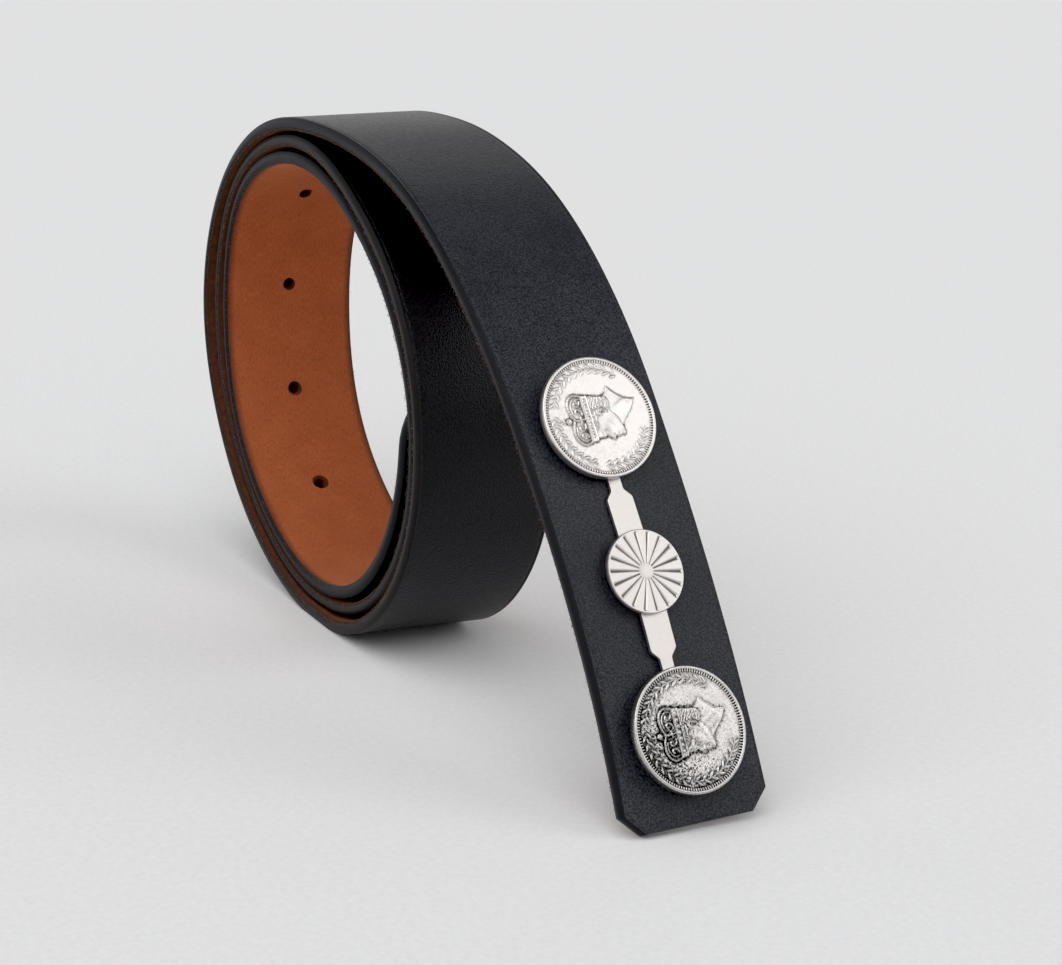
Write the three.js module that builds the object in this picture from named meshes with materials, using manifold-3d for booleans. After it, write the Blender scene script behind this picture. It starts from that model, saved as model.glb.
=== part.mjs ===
// Coin belt: a rolled leather strap whose free end stands on its tip, with two cast coins and a sunburst link on it.
// Millimetres, +Z up. Y runs across the strap and X towards the free tip. The origin is the middle of the base.
import {
  Box3, BoxGeometry, BufferAttribute, BufferGeometry, ConeGeometry, CylinderGeometry, ExtrudeGeometry,
  Group, LatheGeometry, Matrix4, Mesh, MeshStandardMaterial, Path, Shape, SphereGeometry, Vector2, Vector3,
} from "three";
import { mergeVertices } from "three/addons/utils/BufferGeometryUtils.js";
import Module from "manifold-3d";

const wasm = await Module();
wasm.setup();

const deg = Math.PI / 180;
const gap = 0.3;

// Strap
const strapWidth = 38;
const leather = 3.4;
const edgeBevel = 0.5;
const stationStep = 8;
const tipCorner = 4.6;
const tailRound = strapWidth / 2;
const tailNose = 8;
const floorLevel = -3.3;
const tailHoleRadius = 2;
const tailHoleAngles = [129.6, 159.3, 187, 214.6];

// Roll: its middle, the grain face's radius in the inner turn, and the gaps to the two turns outside it
const rollMiddle = { x: -32, z: 65 };
const roll = [
  { angle: 0, inner: 56.0, toMiddle: 1.6, toOuter: 3.0 },
  { angle: 30, inner: 60.5, toMiddle: 3.0, toOuter: 2.2 },
  { angle: 60, inner: 62.5, toMiddle: 1.6, toOuter: 1.4 },
  { angle: 90, inner: 60.5, toMiddle: 0.6, toOuter: 0.6 },
  { angle: 120, inner: 59.5, toMiddle: 0.6, toOuter: 0.6 },
  { angle: 150, inner: 62.5, toMiddle: 0.8, toOuter: 1.2 },
  { angle: 180, inner: 65.0, toMiddle: 2.2, toOuter: 3.0 },
  { angle: 210, inner: 66.0, toMiddle: 0.8, toOuter: 1.0 },
  { angle: 240, inner: 58.5, toMiddle: 1.0, toOuter: 0.8 },
  { angle: 270, inner: 52.0, toMiddle: 1.6, toOuter: 2.6 },
  { angle: 300, inner: 49.0, toMiddle: 2.6, toOuter: 0 },
  { angle: 330, inner: 53.0, toMiddle: 3.8, toOuter: 0 },
];
const rollStep = 30;
const rollEnd = 990;
const tailStart = { angle: -10, inner: 54.4 };

// How far the near edge of the roll drifts to the side, and how far the strap twists
const drift = [
  { angle: 0, side: 0.5, twist: 0 },
  { angle: 180, side: 0, twist: 0 },
  { angle: 240, side: -0.8, twist: 0 },
  { angle: 300, side: 0.3, twist: 0 },
  { angle: 420, side: 1, twist: 0 },
  { angle: 540, side: -0.3, twist: 0 },
  { angle: 660, side: -1.3, twist: 0 },
  { angle: 810, side: -0.6, twist: 0 },
  { angle: 900, side: -1.4, twist: 0 },
  { angle: 990, side: -1.5, twist: -1.8 },
];

// Free end: where its near edge runs from the roll over the arch and down to the tip
const freeEnd = [
  { x: -12, side: -1.4, z: 127.4, twist: -2.4 },
  { x: 8, side: -1.8, z: 124.9, twist: -2.3 },
  { x: 27, side: -3, z: 120.8, twist: -2.3 },
  { x: 46, side: -4.2, z: 114, twist: -2.2 },
  { x: 63.5, side: -4.9, z: 104.6, twist: -1.8 },
  { x: 79.8, side: -4.7, z: 92.4, twist: -0.2 },
  { x: 95.8, side: -3.5, z: 75.3, twist: 2.2 },
  { x: 113.7, side: -0.4, z: 48.3, twist: 4 },
  { x: 129.6, side: 2.8, z: 16.4, twist: 3 },
  { x: 138.6, side: 4.2, z: -5.4, twist: 0.5 },
];

// Buckle: the middle of the sunburst's face, and how the buckle lies there
const buckleMiddle = new Vector3(114.6, 18.4, 50.4);
const buckleLean = 59;
const buckleSwing = 9.9;
const buckleTurn = 6;
const buckleBow = 2.6;
const coinPitch = 36.1;

// Coins
const coinRadius = 14.2;
const coinThickness = 2.1;
const coinEdge = 0.22;
const rimWidth = 0.7;
const fieldDrop = 0.35;
const coinSides = 48;
const denticleCount = 54;
const denticle = { inner: 12.9, length: 0.42, height: 0.2 };
const sprayRadius = 11.3;
const leaf = { halfWidth: 0.62, halfLength: 1.15, height: 0.3 };
const sprays = [
  { from: 48, to: 162, leaves: 9 },
  { from: 172, to: 250, leaves: 6 },
  { from: 260, to: 342, leaves: 7 },
];

// Portrait: a plain crowned head in strokes that meet in corners, facing left, as U to the right and V up
const headStrokes = [
  { line: "brow to nose", points: [[-4.75, 2.3], [-4.95, 0.9], [-4.75, -0.4], [-5.85, -2.15]] },
  { line: "nose to lips", points: [[-5.85, -2.15], [-5.1, -2.7], [-5.35, -3.4], [-5.08, -3.62]] },
  { line: "lips to jaw", points: [[-5.08, -3.62], [-5.25, -3.92], [-4.9, -4.3], [-4.75, -5.4], [-3.2, -5.4]] },
  { line: "throat", points: [[-3.2, -5.4], [-1.9, -6.3], [0.9, -8.9], [3, -10.1]] },
  { line: "cut of the neck", points: [[3, -10.1], [3.4, -8.1], [4.7, -5.9], [6.7, -3.9]] },
  { line: "nape", points: [[6.7, -3.9], [5.3, -2.8], [4.9, -0.6], [5.3, 1.2], [5.2, 2.3]] },
];
const crownStrokes = [
  { line: "back arch", points: [[5.5, 3.6], [5.95, 5.4], [4.9, 7], [2.8, 7.6], [0, 6.8]] },
  { line: "front arch", points: [[0, 6.8], [-2.8, 7.6], [-4.9, 7], [-5.95, 5.4], [-5.5, 3.6]] },
];
const crownOpening = [
  { line: "under the arch", points: [[0.7, 4.2], [0.9, 6.2], [2.8, 6.9], [4.5, 6.3], [5.1, 5], [4.8, 4.2]] },
];
const band = { halfFoot: 5.4, halfTop: 5.6, foot: 2.1, top: 3.9 };
const headHeight = 0.45;
const crownHeight = 0.3;
const bandHeight = 0.6;
// Rounded forms on the head and the crown, with their half sizes and the level that they start from
const mounds = [
  { form: "cheek", u: -0.9, v: -1.6, halfWidth: 3.2, halfHeight: 2.6, height: 0.32, level: 0.4 },
  { form: "hair", u: 2.9, v: -0.4, halfWidth: 1.8, halfHeight: 2.4, height: 0.4, level: 0.4 },
  { form: "ear", u: 1.2, v: -1.1, halfWidth: 0.6, halfHeight: 1, height: 0.5, level: 0.45 },
  { form: "brow", u: -3.9, v: 0.2, halfWidth: 0.8, halfHeight: 0.3, height: 0.3, level: 0.42 },
  { form: "orb", u: 0, v: 7.9, halfWidth: 0.75, halfHeight: 0.75, height: 0.6, level: 0 },
  { form: "cross", u: 0, v: 9.1, halfWidth: 0.55, halfHeight: 0.6, height: 0.45, level: 0 },
  { form: "front ornament", u: -2.7, v: 5.3, halfWidth: 0.8, halfHeight: 0.7, height: 0.4, level: 0 },
  { form: "back ornament", u: 2.7, v: 5.3, halfWidth: 0.8, halfHeight: 0.7, height: 0.4, level: 0 },
];
const jewels = { first: -4.2, step: 2.1, count: 5 };
const jewel = { v: 3, halfWidth: 0.55, halfHeight: 0.45, height: 0.35, level: 0.5 };

// Sunburst link
const discRadius = 9.6;
const discThickness = 2.4;
const discEdge = 0.25;
const rayCount = 18;
const ray = { from: 2.6, to: 8.8, width: 0.62 };
const bossRadius = 2;
const barTop = -1.2;
const barThickness = 0.9;
const barHalf = 3.35;
const neckHalf = 1.6;
const shoulder = { start: 17.6, end: 19.5 };
const tabRadius = 4;

// Posts
const postRadius = 1.5;
const postHoleRadius = 1.85;
const postSocketDepth = 0.9;
const postHead = { radius: 4, height: 1.2, depth: 6.9, edge: 0.3 };
const postHoleReach = 12;
const tailPunchLength = 8;

// Colours
const grainBlack = { color: 0x2b2c32, roughness: 0.5, metalness: 0 };
const nickelBright = { color: 0xc9c6c2, roughness: 0.28, metalness: 1 };
const nickelTarnished = { color: 0xb4b1ad, roughness: 0.32, metalness: 1 };
const nickelSatin = { color: 0xcfcac5, roughness: 0.34, metalness: 1 };
const steelPost = { color: 0x9a9a9c, roughness: 0.4, metalness: 1 };

// Solids: a closed geometry with merged vertices becomes a solid, and a solid a geometry again
function solid(geometry, matrix) {
  const bare = geometry.clone();
  bare.deleteAttribute("normal");
  bare.deleteAttribute("uv");
  if (matrix) bare.applyMatrix4(matrix);
  const merged = mergeVertices(bare, 1e-5);
  const vertProperties = Float32Array.from(merged.attributes.position.array);
  const triVerts = Uint32Array.from(merged.index.array);
  return new wasm.Manifold(new wasm.Mesh({ numProp: 3, vertProperties, triVerts }));
}

function geometryOf(body) {
  const mesh = body.getMesh();
  const geometry = new BufferGeometry();
  geometry.setAttribute("position", new BufferAttribute(Float32Array.from(mesh.vertProperties), 3));
  geometry.setIndex(Array.from(mesh.triVerts));
  geometry.computeVertexNormals();
  return geometry;
}

function unite(bodies) {
  return bodies.reduce((sum, body) => sum.add(body));
}

function shift(x, y, z) {
  return new Matrix4().makeTranslation(x, y, z);
}

// A cylinder along Z from one level to another
function rod(radius, from, to, sides) {
  const geometry = new CylinderGeometry(radius, radius, to - from, sides).rotateX(Math.PI / 2);
  return solid(geometry, shift(0, 0, (from + to) / 2));
}

// A profile of radius and level turned about Z
function turned(profile, sides) {
  return solid(new LatheGeometry(profile.map(([r, z]) => new Vector2(r, z)), sides).rotateX(Math.PI / 2));
}

// A flat shape raised from one level to another, with a small bevel on its edges
function raised(shape, from, to, bevel) {
  const options = {
    depth: to - from - bevel, bevelThickness: bevel, bevelSize: bevel, bevelOffset: -bevel, bevelSegments: 1,
    curveSegments: 2,
  };
  return solid(new ExtrudeGeometry(shape, options), shift(0, 0, from));
}

// Natural cubic spline through values at given distances: gives the value and the slope
function naturalSpline(at, values) {
  const count = at.length;
  const bend = new Array(count).fill(0);
  const upper = new Array(count).fill(0);
  for (let i = 1; i < count - 1; i++) {
    const before = at[i] - at[i - 1];
    const after = at[i + 1] - at[i];
    const jump = 6 * ((values[i + 1] - values[i]) / after - (values[i] - values[i - 1]) / before);
    const pivot = 2 * (before + after) - before * upper[i - 1];
    upper[i] = after / pivot;
    bend[i] = (jump - before * bend[i - 1]) / pivot;
  }
  for (let i = count - 2; i > 0; i--) bend[i] -= upper[i] * bend[i + 1];
  return (s) => {
    let i = 0;
    while (i < count - 2 && s > at[i + 1]) i++;
    const h = at[i + 1] - at[i];
    const a = (at[i + 1] - s) / h;
    const b = (s - at[i]) / h;
    const pull = ((a ** 3 - a) * bend[i] + (b ** 3 - b) * bend[i + 1]) * h * h / 6;
    const pullSlope = ((1 - 3 * a * a) * bend[i] + (3 * b * b - 1) * bend[i + 1]) * h / 6;
    return {
      value: a * values[i] + b * values[i + 1] + pull,
      slope: (values[i + 1] - values[i]) / h + pullSlope,
    };
  };
}

function betweenRows(rows, key, at, column) {
  let i = 0;
  while (i < rows.length - 2 && at > rows[i + 1][key]) i++;
  const part = (at - rows[i][key]) / (rows[i + 1][key] - rows[i][key]);
  return rows[i][column] + part * (rows[i + 1][column] - rows[i][column]);
}

function edgeKnot(angle, radius) {
  return {
    x: rollMiddle.x + radius * Math.cos(angle * deg),
    side: betweenRows(drift, "angle", Math.max(0, angle), "side"),
    z: rollMiddle.z - radius * Math.sin(angle * deg),
    twist: betweenRows(drift, "angle", Math.max(0, angle), "twist"),
  };
}

// Near edge of the grain face, from the tail in the middle of the roll to the tip
function edgeKnots() {
  const knots = [edgeKnot(tailStart.angle, tailStart.inner)];
  for (let angle = 0; angle <= rollEnd; angle += rollStep) {
    const turn = Math.floor(angle / 360);
    const row = roll[(angle % 360) / rollStep];
    let radius = row.inner;
    if (turn > 0) radius += leather + row.toMiddle;
    if (turn > 1) radius += leather + row.toOuter;
    knots.push(edgeKnot(angle, radius));
  }
  return knots.concat(freeEnd);
}

function makeStrapFrame() {
  const knots = edgeKnots();
  const at = [0];
  for (let i = 1; i < knots.length; i++) {
    const before = knots[i - 1];
    at.push(at[i - 1] + Math.hypot(knots[i].x - before.x, knots[i].side - before.side, knots[i].z - before.z));
  }
  const curves = ["x", "side", "z", "twist"].map((column) => naturalSpline(at, knots.map((knot) => knot[column])));
  const frame = (s) => {
    const [x, y, z, twist] = curves.map((curve) => curve(s));
    const along = new Vector3(x.slope, y.slope, z.slope).normalize();
    const level = new Vector3(0, 1, 0).addScaledVector(along, -along.y).normalize();
    const up = new Vector3().crossVectors(along, level);
    const turned = -twist.value * deg;
    const across = level.clone().multiplyScalar(Math.cos(turned)).addScaledVector(up, Math.sin(turned));
    const out = new Vector3().crossVectors(along, across);
    return { edge: new Vector3(x.value, y.value, z.value), along, across, out };
  };
  return { frame, length: at.at(-1) };
}
const strapFrame = makeStrapFrame();

// The tip ends where the near bottom corner of its flesh side reaches the floor
function findTip() {
  const step = 0.01;
  let s = strapFrame.length;
  while (s > 0) {
    const { edge, across, out } = strapFrame.frame(s);
    if (edge.z + tipCorner * across.z - leather * out.z >= floorLevel) return s;
    s -= step;
  }
  return strapFrame.length;
}

// The tail is rounded off from a small flat nose, and the tip has clipped corners
function stationDistances(tip) {
  const distances = [];
  for (const turn of [tailNose, 22, 38, 56, 72]) distances.push(tailRound * (1 - Math.cos(turn * deg)));
  const middle = tip - tipCorner - tailRound;
  const steps = Math.round(middle / stationStep);
  for (let i = 0; i <= steps; i++) distances.push(tailRound + (middle * i) / steps);
  distances.push(tip);
  return distances;
}

function endInset(s, tip) {
  if (s < tailRound) return tailRound - Math.sqrt(tailRound ** 2 - (tailRound - s) ** 2);
  return Math.max(0, s - (tip - tipCorner));
}

// Section of the strap at one station: a rectangle with bevelled edges, narrower towards the clipped ends
function sectionPoints(s, tip) {
  const { edge, across, out } = strapFrame.frame(s);
  const flat = edge.z < floorLevel && s < tip - 2 * strapWidth;
  if (flat) edge.z = floorLevel;
  const inset = endInset(s, tip);
  const near = inset;
  const far = strapWidth - inset;
  const corners = [
    [near + edgeBevel, 0], [far - edgeBevel, 0], [far, edgeBevel], [far, leather - edgeBevel],
    [far - edgeBevel, leather], [near + edgeBevel, leather], [near, leather - edgeBevel], [near, edgeBevel],
  ];
  const outward = flat ? new Vector3(0, 0, -1) : out;
  const sideways = flat ? new Vector3(0, 1, 0) : across;
  return corners.map(([u, depth]) => edge.clone().addScaledVector(sideways, u).addScaledVector(outward, -depth));
}

function strapBody() {
  const tip = findTip();
  const rows = stationDistances(tip).map((s) => sectionPoints(s, tip));
  const ring = rows[0].length;
  const positions = rows.flat().flatMap((point) => [point.x, point.y, point.z]);
  const index = [];
  for (let i = 0; i < rows.length - 1; i++) {
    for (let j = 0; j < ring; j++) {
      const a = i * ring + j;
      const b = i * ring + ((j + 1) % ring);
      index.push(a, a + ring, b, b, a + ring, b + ring);
    }
  }
  const last = (rows.length - 1) * ring;
  for (let j = 1; j < ring - 1; j++) {
    index.push(0, j, j + 1);
    index.push(last, last + j + 1, last + j);
  }
  const geometry = new BufferGeometry();
  geometry.setAttribute("position", new BufferAttribute(new Float32Array(positions), 3));
  geometry.setIndex(index);
  return solid(geometry);
}

// Punch for a tail hole, pointing out from the middle of the roll
function tailPunch(angle) {
  const radius = betweenRows(roll, "angle", angle, "inner");
  const side = strapWidth / 2 + betweenRows(drift, "angle", angle, "side");
  const punch = new CylinderGeometry(tailHoleRadius, tailHoleRadius, tailPunchLength, 12).rotateZ(-Math.PI / 2);
  punch.translate(radius - leather / 2, 0, 0).rotateY(angle * deg);
  return solid(punch, shift(rollMiddle.x, side, rollMiddle.z));
}

// Frame of the buckle: X across the strap, Y up along it, Z out of it
function buckleFrame() {
  const lean = buckleLean * deg;
  const swing = buckleSwing * deg;
  const along = new Vector3(Math.cos(lean) * Math.cos(swing), Math.cos(lean) * Math.sin(swing), -Math.sin(lean));
  const level = new Vector3(-Math.sin(swing), Math.cos(swing), 0);
  const up = new Vector3().crossVectors(along, level);
  const turn = buckleTurn * deg;
  const across = level.clone().multiplyScalar(Math.cos(turn)).addScaledVector(up, Math.sin(turn));
  const out = new Vector3().crossVectors(along, across);
  return new Matrix4().makeBasis(across, along.clone().negate(), out).setPosition(buckleMiddle);
}

// Frame of a coin: its middle at the underside, end 1 for the upper coin and -1 for the lower one
function coinFrame(end) {
  const bow = new Matrix4().makeRotationX(-end * buckleBow * deg);
  return buckleFrame().multiply(bow).multiply(shift(0, end * coinPitch, barTop + gap));
}

// Link: a sunburst disc on a bar with a shouldered neck and a round tab at each end
function armShape() {
  const shape = new Shape();
  const armStart = discRadius / 2;
  const tabStart = coinPitch - Math.sqrt(tabRadius ** 2 - neckHalf ** 2);
  const open = Math.asin(neckHalf / tabRadius);
  shape.moveTo(-barHalf, armStart);
  shape.lineTo(barHalf, armStart);
  shape.lineTo(barHalf, shoulder.start);
  shape.lineTo(neckHalf, shoulder.end);
  shape.lineTo(neckHalf, tabStart);
  shape.absarc(0, coinPitch, tabRadius, -Math.PI / 2 + open, Math.PI * 1.5 - open, false);
  shape.lineTo(-neckHalf, shoulder.end);
  shape.lineTo(-barHalf, shoulder.start);
  const hole = new Path();
  hole.absarc(0, coinPitch, postHoleRadius, 0, 2 * Math.PI, true);
  shape.holes.push(hole);
  return shape;
}

function linkBody() {
  const disc = turned([
    [0, -discThickness], [discRadius - discEdge, -discThickness], [discRadius, -discThickness + discEdge],
    [discRadius, -discEdge], [discRadius - discEdge, 0], [0, 0],
  ], coinSides);
  const length = ray.to - ray.from;
  const side = ray.width / Math.SQRT2;
  const groove = new BoxGeometry(length, side, side).rotateX(Math.PI / 4).translate(ray.from + length / 2, 0, 0.05);
  const rays = [];
  for (let i = 0; i < rayCount; i++) {
    rays.push(solid(groove, new Matrix4().makeRotationZ(((i + 0.5) * 2 * Math.PI) / rayCount)));
  }
  const boss = new SphereGeometry(bossRadius, 16, 8).scale(1, 1, 0.25);
  const options = { depth: barThickness, bevelEnabled: false, curveSegments: 8 };
  const arms = [1, -1].map((end) => {
    const bow = new Matrix4().makeRotationX(-end * buckleBow * deg);
    const flip = new Matrix4().makeRotationZ(end > 0 ? 0 : Math.PI);
    const place = bow.multiply(flip).multiply(shift(0, 0, barTop - barThickness));
    return solid(new ExtrudeGeometry(armShape(), options), place);
  });
  return unite([disc, ...arms]).subtract(unite(rays)).add(solid(boss));
}

// Outline of smooth strokes that meet in corners
function strokeShape(strokes, kind = Shape, mirror = 1) {
  const shape = new kind();
  const [u, v] = strokes[0].points[0];
  shape.moveTo(u * mirror, v);
  for (const { points } of strokes) shape.splineThru(points.slice(1).map(([pu, pv]) => new Vector2(pu * mirror, pv)));
  return shape;
}

function moundBody(row, field) {
  const geometry = new SphereGeometry(1, 10, 6).rotateX(Math.PI / 2).scale(row.halfWidth, row.halfHeight, row.height);
  return solid(geometry, shift(row.u, row.v, field + row.level));
}

// Crowned head in low relief on a coin's field
function portraitBodies(field) {
  const root = field - 0.2;
  const bevel = 0.15;
  const crown = strokeShape(crownStrokes);
  crown.holes.push(strokeShape(crownOpening, Path), strokeShape(crownOpening, Path, -1));
  const bandShape = new Shape();
  bandShape.moveTo(-band.halfFoot, band.foot);
  bandShape.lineTo(band.halfFoot, band.foot);
  bandShape.lineTo(band.halfTop, band.top);
  bandShape.lineTo(-band.halfTop, band.top);
  const bodies = [
    raised(strokeShape(headStrokes), root, field + headHeight, bevel),
    raised(crown, root, field + crownHeight, bevel),
    raised(bandShape, root, field + bandHeight, bevel),
  ];
  for (const row of mounds) bodies.push(moundBody(row, field));
  for (let i = 0; i < jewels.count; i++) bodies.push(moundBody({ ...jewel, u: jewels.first + i * jewels.step }, field));
  return bodies;
}

// Sprays of small leaves round the border of a coin
function leafBodies(field) {
  const root = 0.2;
  const cone = new ConeGeometry(1, 1, 4, 1).rotateX(Math.PI / 2).translate(0, 0, 0.5);
  cone.scale(leaf.halfWidth, leaf.halfLength, leaf.height + root);
  const leaves = [];
  for (const spray of sprays) {
    for (let i = 0; i < spray.leaves; i++) {
      const turn = (spray.from + ((spray.to - spray.from) * (i + 0.5)) / spray.leaves) * deg;
      const lay = new Matrix4().makeRotationZ(turn).multiply(shift(sprayRadius, 0, field - root));
      const slant = new Matrix4().makeRotationZ((i % 2 ? 35 : 145) * deg);
      leaves.push(solid(cone, lay.multiply(slant)));
    }
  }
  return leaves;
}

// Toothed border: what lies inside it is cut down to the field
function denticleBody(field) {
  const shape = new Shape();
  for (let i = 0; i < 2 * denticleCount; i++) {
    const turn = (i * Math.PI) / denticleCount;
    const radius = denticle.inner + (i % 2 ? 0 : denticle.length);
    if (i === 0) shape.moveTo(radius, 0);
    else shape.lineTo(radius * Math.cos(turn), radius * Math.sin(turn));
  }
  return solid(new ExtrudeGeometry(shape, { depth: coinThickness, bevelEnabled: false }), shift(0, 0, field));
}

// Coin: a raised rim, a toothed border inside it, sprays of leaves and a crowned head in relief
function coinBody() {
  const field = coinThickness - fieldDrop;
  const step = field + denticle.height;
  const rimInner = coinRadius - rimWidth;
  const stepInner = denticle.inner - 0.1;
  const blank = turned([
    [0, 0], [coinRadius - coinEdge, 0], [coinRadius, coinEdge], [coinRadius, coinThickness - coinEdge],
    [coinRadius - coinEdge, coinThickness], [rimInner, coinThickness], [rimInner, step], [stepInner, step],
    [stepInner, field], [0, field],
  ], coinSides);
  const crownToNearEdge = new Matrix4().makeRotationZ(Math.PI / 2);
  const portrait = unite(portraitBodies(field)).transform(crownToNearEdge.toArray());
  const socket = rod(postHoleRadius, -1, postSocketDepth, 16);
  return unite([blank.subtract(denticleBody(field)), portrait, ...leafBodies(field)]).subtract(socket);
}

// Post: a plain pin with a flat head behind the strap
function postBody() {
  const back = -postHead.depth - postHead.height;
  const front = postSocketDepth - gap;
  return turned([
    [0, back], [postHead.radius - postHead.edge, back], [postHead.radius, back + postHead.edge],
    [postHead.radius, -postHead.depth], [postRadius, -postHead.depth], [postRadius, front], [0, front],
  ], 20);
}

// Assembly
const punches = tailHoleAngles.map(tailPunch);
for (const end of [1, -1]) {
  const postPunch = rod(postHoleRadius, -postHoleReach, -barThickness - gap, 16);
  punches.push(postPunch.transform(coinFrame(end).toArray()));
}
const strapGeometry = geometryOf(strapBody().subtract(unite(punches)));

const linkGeometry = geometryOf(linkBody()).applyMatrix4(buckleFrame());
const pieces = [
  ["strap", strapGeometry, grainBlack],
  ["sunburst_link", linkGeometry, nickelSatin],
];
for (const [name, end, look] of [["upper", 1, nickelBright], ["lower", -1, nickelTarnished]]) {
  pieces.push([`coin_${name}`, geometryOf(coinBody()).applyMatrix4(coinFrame(end)), look]);
  pieces.push([`post_${name}`, geometryOf(postBody()).applyMatrix4(coinFrame(end)), steelPost]);
}

const belt = new Group();
const box = new Box3();
for (const [name, geometry, look] of pieces) {
  geometry.computeBoundingBox();
  box.union(geometry.boundingBox);
  const mesh = new Mesh(geometry, new MeshStandardMaterial(look));
  mesh.name = name;
  belt.add(mesh);
}
belt.position.set(-(box.min.x + box.max.x) / 2, -(box.min.y + box.max.y) / 2, -box.min.z);

export default belt;
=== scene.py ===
"""Coin belt: a rolled black leather strap with two crowned coins and a sunburst link on its free end."""
import math

import bmesh
import bpy
import numpy as np
from mathutils import Matrix, Vector


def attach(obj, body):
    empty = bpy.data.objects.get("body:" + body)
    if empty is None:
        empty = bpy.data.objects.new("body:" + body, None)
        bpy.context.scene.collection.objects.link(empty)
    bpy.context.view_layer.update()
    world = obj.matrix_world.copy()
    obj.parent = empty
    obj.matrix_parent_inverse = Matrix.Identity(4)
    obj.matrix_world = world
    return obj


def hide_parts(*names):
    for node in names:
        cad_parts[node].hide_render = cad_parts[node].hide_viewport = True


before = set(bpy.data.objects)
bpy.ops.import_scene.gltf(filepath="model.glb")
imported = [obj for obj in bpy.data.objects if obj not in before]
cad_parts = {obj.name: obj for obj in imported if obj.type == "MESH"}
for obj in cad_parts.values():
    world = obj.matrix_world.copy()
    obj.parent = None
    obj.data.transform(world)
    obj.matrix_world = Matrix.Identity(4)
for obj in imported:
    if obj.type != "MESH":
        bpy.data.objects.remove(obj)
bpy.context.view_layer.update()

# Strap
# One length of full-grain cow leather, 38 mm wide and 3.4 mm thick, rolled up, its free end on its tip.
# The tip's corners are clipped, the edges bevelled, creased and painted, and the flesh side stays bare.
mm = 0.001
# From the foot of the roll, where the tables below are drawn, to the middle of the base
row_shift = np.array([-15.0513, -18.3803, 3.3])
strap_width = 38.0
leather = 3.4
tip_corner = 4.6
tail_round = strap_width / 2
tail_nose = 8
floor_level = -3.3

# The roll: the grain face's radius in the inner turn, and the gaps to the two turns outside it
roll_middle = np.array([-32.0, 65.0])
roll = [
    {"angle": 0, "inner": 56.0, "to_middle": 1.6, "to_outer": 3.0},
    {"angle": 30, "inner": 60.5, "to_middle": 3.0, "to_outer": 2.2},
    {"angle": 60, "inner": 62.5, "to_middle": 1.6, "to_outer": 1.4},
    {"angle": 90, "inner": 60.5, "to_middle": 0.6, "to_outer": 0.6},
    {"angle": 120, "inner": 59.5, "to_middle": 0.6, "to_outer": 0.6},
    {"angle": 150, "inner": 62.5, "to_middle": 0.8, "to_outer": 1.2},
    {"angle": 180, "inner": 65.0, "to_middle": 2.2, "to_outer": 3.0},
    {"angle": 210, "inner": 66.0, "to_middle": 0.8, "to_outer": 1.0},
    {"angle": 240, "inner": 58.5, "to_middle": 1.0, "to_outer": 0.8},
    {"angle": 270, "inner": 52.0, "to_middle": 1.6, "to_outer": 2.6},
    {"angle": 300, "inner": 49.0, "to_middle": 2.6, "to_outer": 0.0},
    {"angle": 330, "inner": 53.0, "to_middle": 3.8, "to_outer": 0.0},
]
roll_step = 30
roll_end = 990
tail_start = {"angle": -10, "inner": 54.4}
# How far the near edge of the roll drifts to the side, and how far the strap twists
drift = [
    {"angle": 0, "side": 0.5, "twist": 0.0},
    {"angle": 180, "side": 0.0, "twist": 0.0},
    {"angle": 240, "side": -0.8, "twist": 0.0},
    {"angle": 300, "side": 0.3, "twist": 0.0},
    {"angle": 420, "side": 1.0, "twist": 0.0},
    {"angle": 540, "side": -0.3, "twist": 0.0},
    {"angle": 660, "side": -1.3, "twist": 0.0},
    {"angle": 810, "side": -0.6, "twist": 0.0},
    {"angle": 900, "side": -1.4, "twist": 0.0},
    {"angle": 990, "side": -1.5, "twist": -1.8},
]
# Where the near edge runs from the roll over the arch and down to the tip
free_end = [
    {"x": -12.0, "side": -1.4, "z": 127.4, "twist": -2.4},
    {"x": 8.0, "side": -1.8, "z": 124.9, "twist": -2.3},
    {"x": 27.0, "side": -3.0, "z": 120.8, "twist": -2.3},
    {"x": 46.0, "side": -4.2, "z": 114.0, "twist": -2.2},
    {"x": 63.5, "side": -4.9, "z": 104.6, "twist": -1.8},
    {"x": 79.8, "side": -4.7, "z": 92.4, "twist": -0.2},
    {"x": 95.8, "side": -3.5, "z": 75.3, "twist": 2.2},
    {"x": 113.7, "side": -0.4, "z": 48.3, "twist": 4.0},
    {"x": 129.6, "side": 2.8, "z": 16.4, "twist": 3.0},
    {"x": 138.6, "side": 4.2, "z": -5.4, "twist": 0.5},
]


def column(rows, name):
    return np.array([row[name] for row in rows], float)


def edge_knot(angle, radius):
    turn = math.radians(angle)
    x = roll_middle[0] + radius * math.cos(turn)
    z = roll_middle[1] - radius * math.sin(turn)
    side = np.interp(angle, column(drift, "angle"), column(drift, "side"))
    twist = np.interp(angle, column(drift, "angle"), column(drift, "twist"))
    return [x, side, z, twist]


def strap_knots():
    """Knots of the near edge of the grain face, as x, side, z and twist."""
    knots = [edge_knot(tail_start["angle"], tail_start["inner"])]
    for angle in range(0, roll_end + 1, roll_step):
        row = roll[(angle % 360) // roll_step]
        radius = row["inner"]
        if angle >= 360:
            radius += leather + row["to_middle"]
        if angle >= 720:
            radius += leather + row["to_outer"]
        knots.append(edge_knot(angle, radius))
    for row in free_end:
        knots.append([row["x"], row["side"], row["z"], row["twist"]])
    return np.array(knots)


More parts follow.
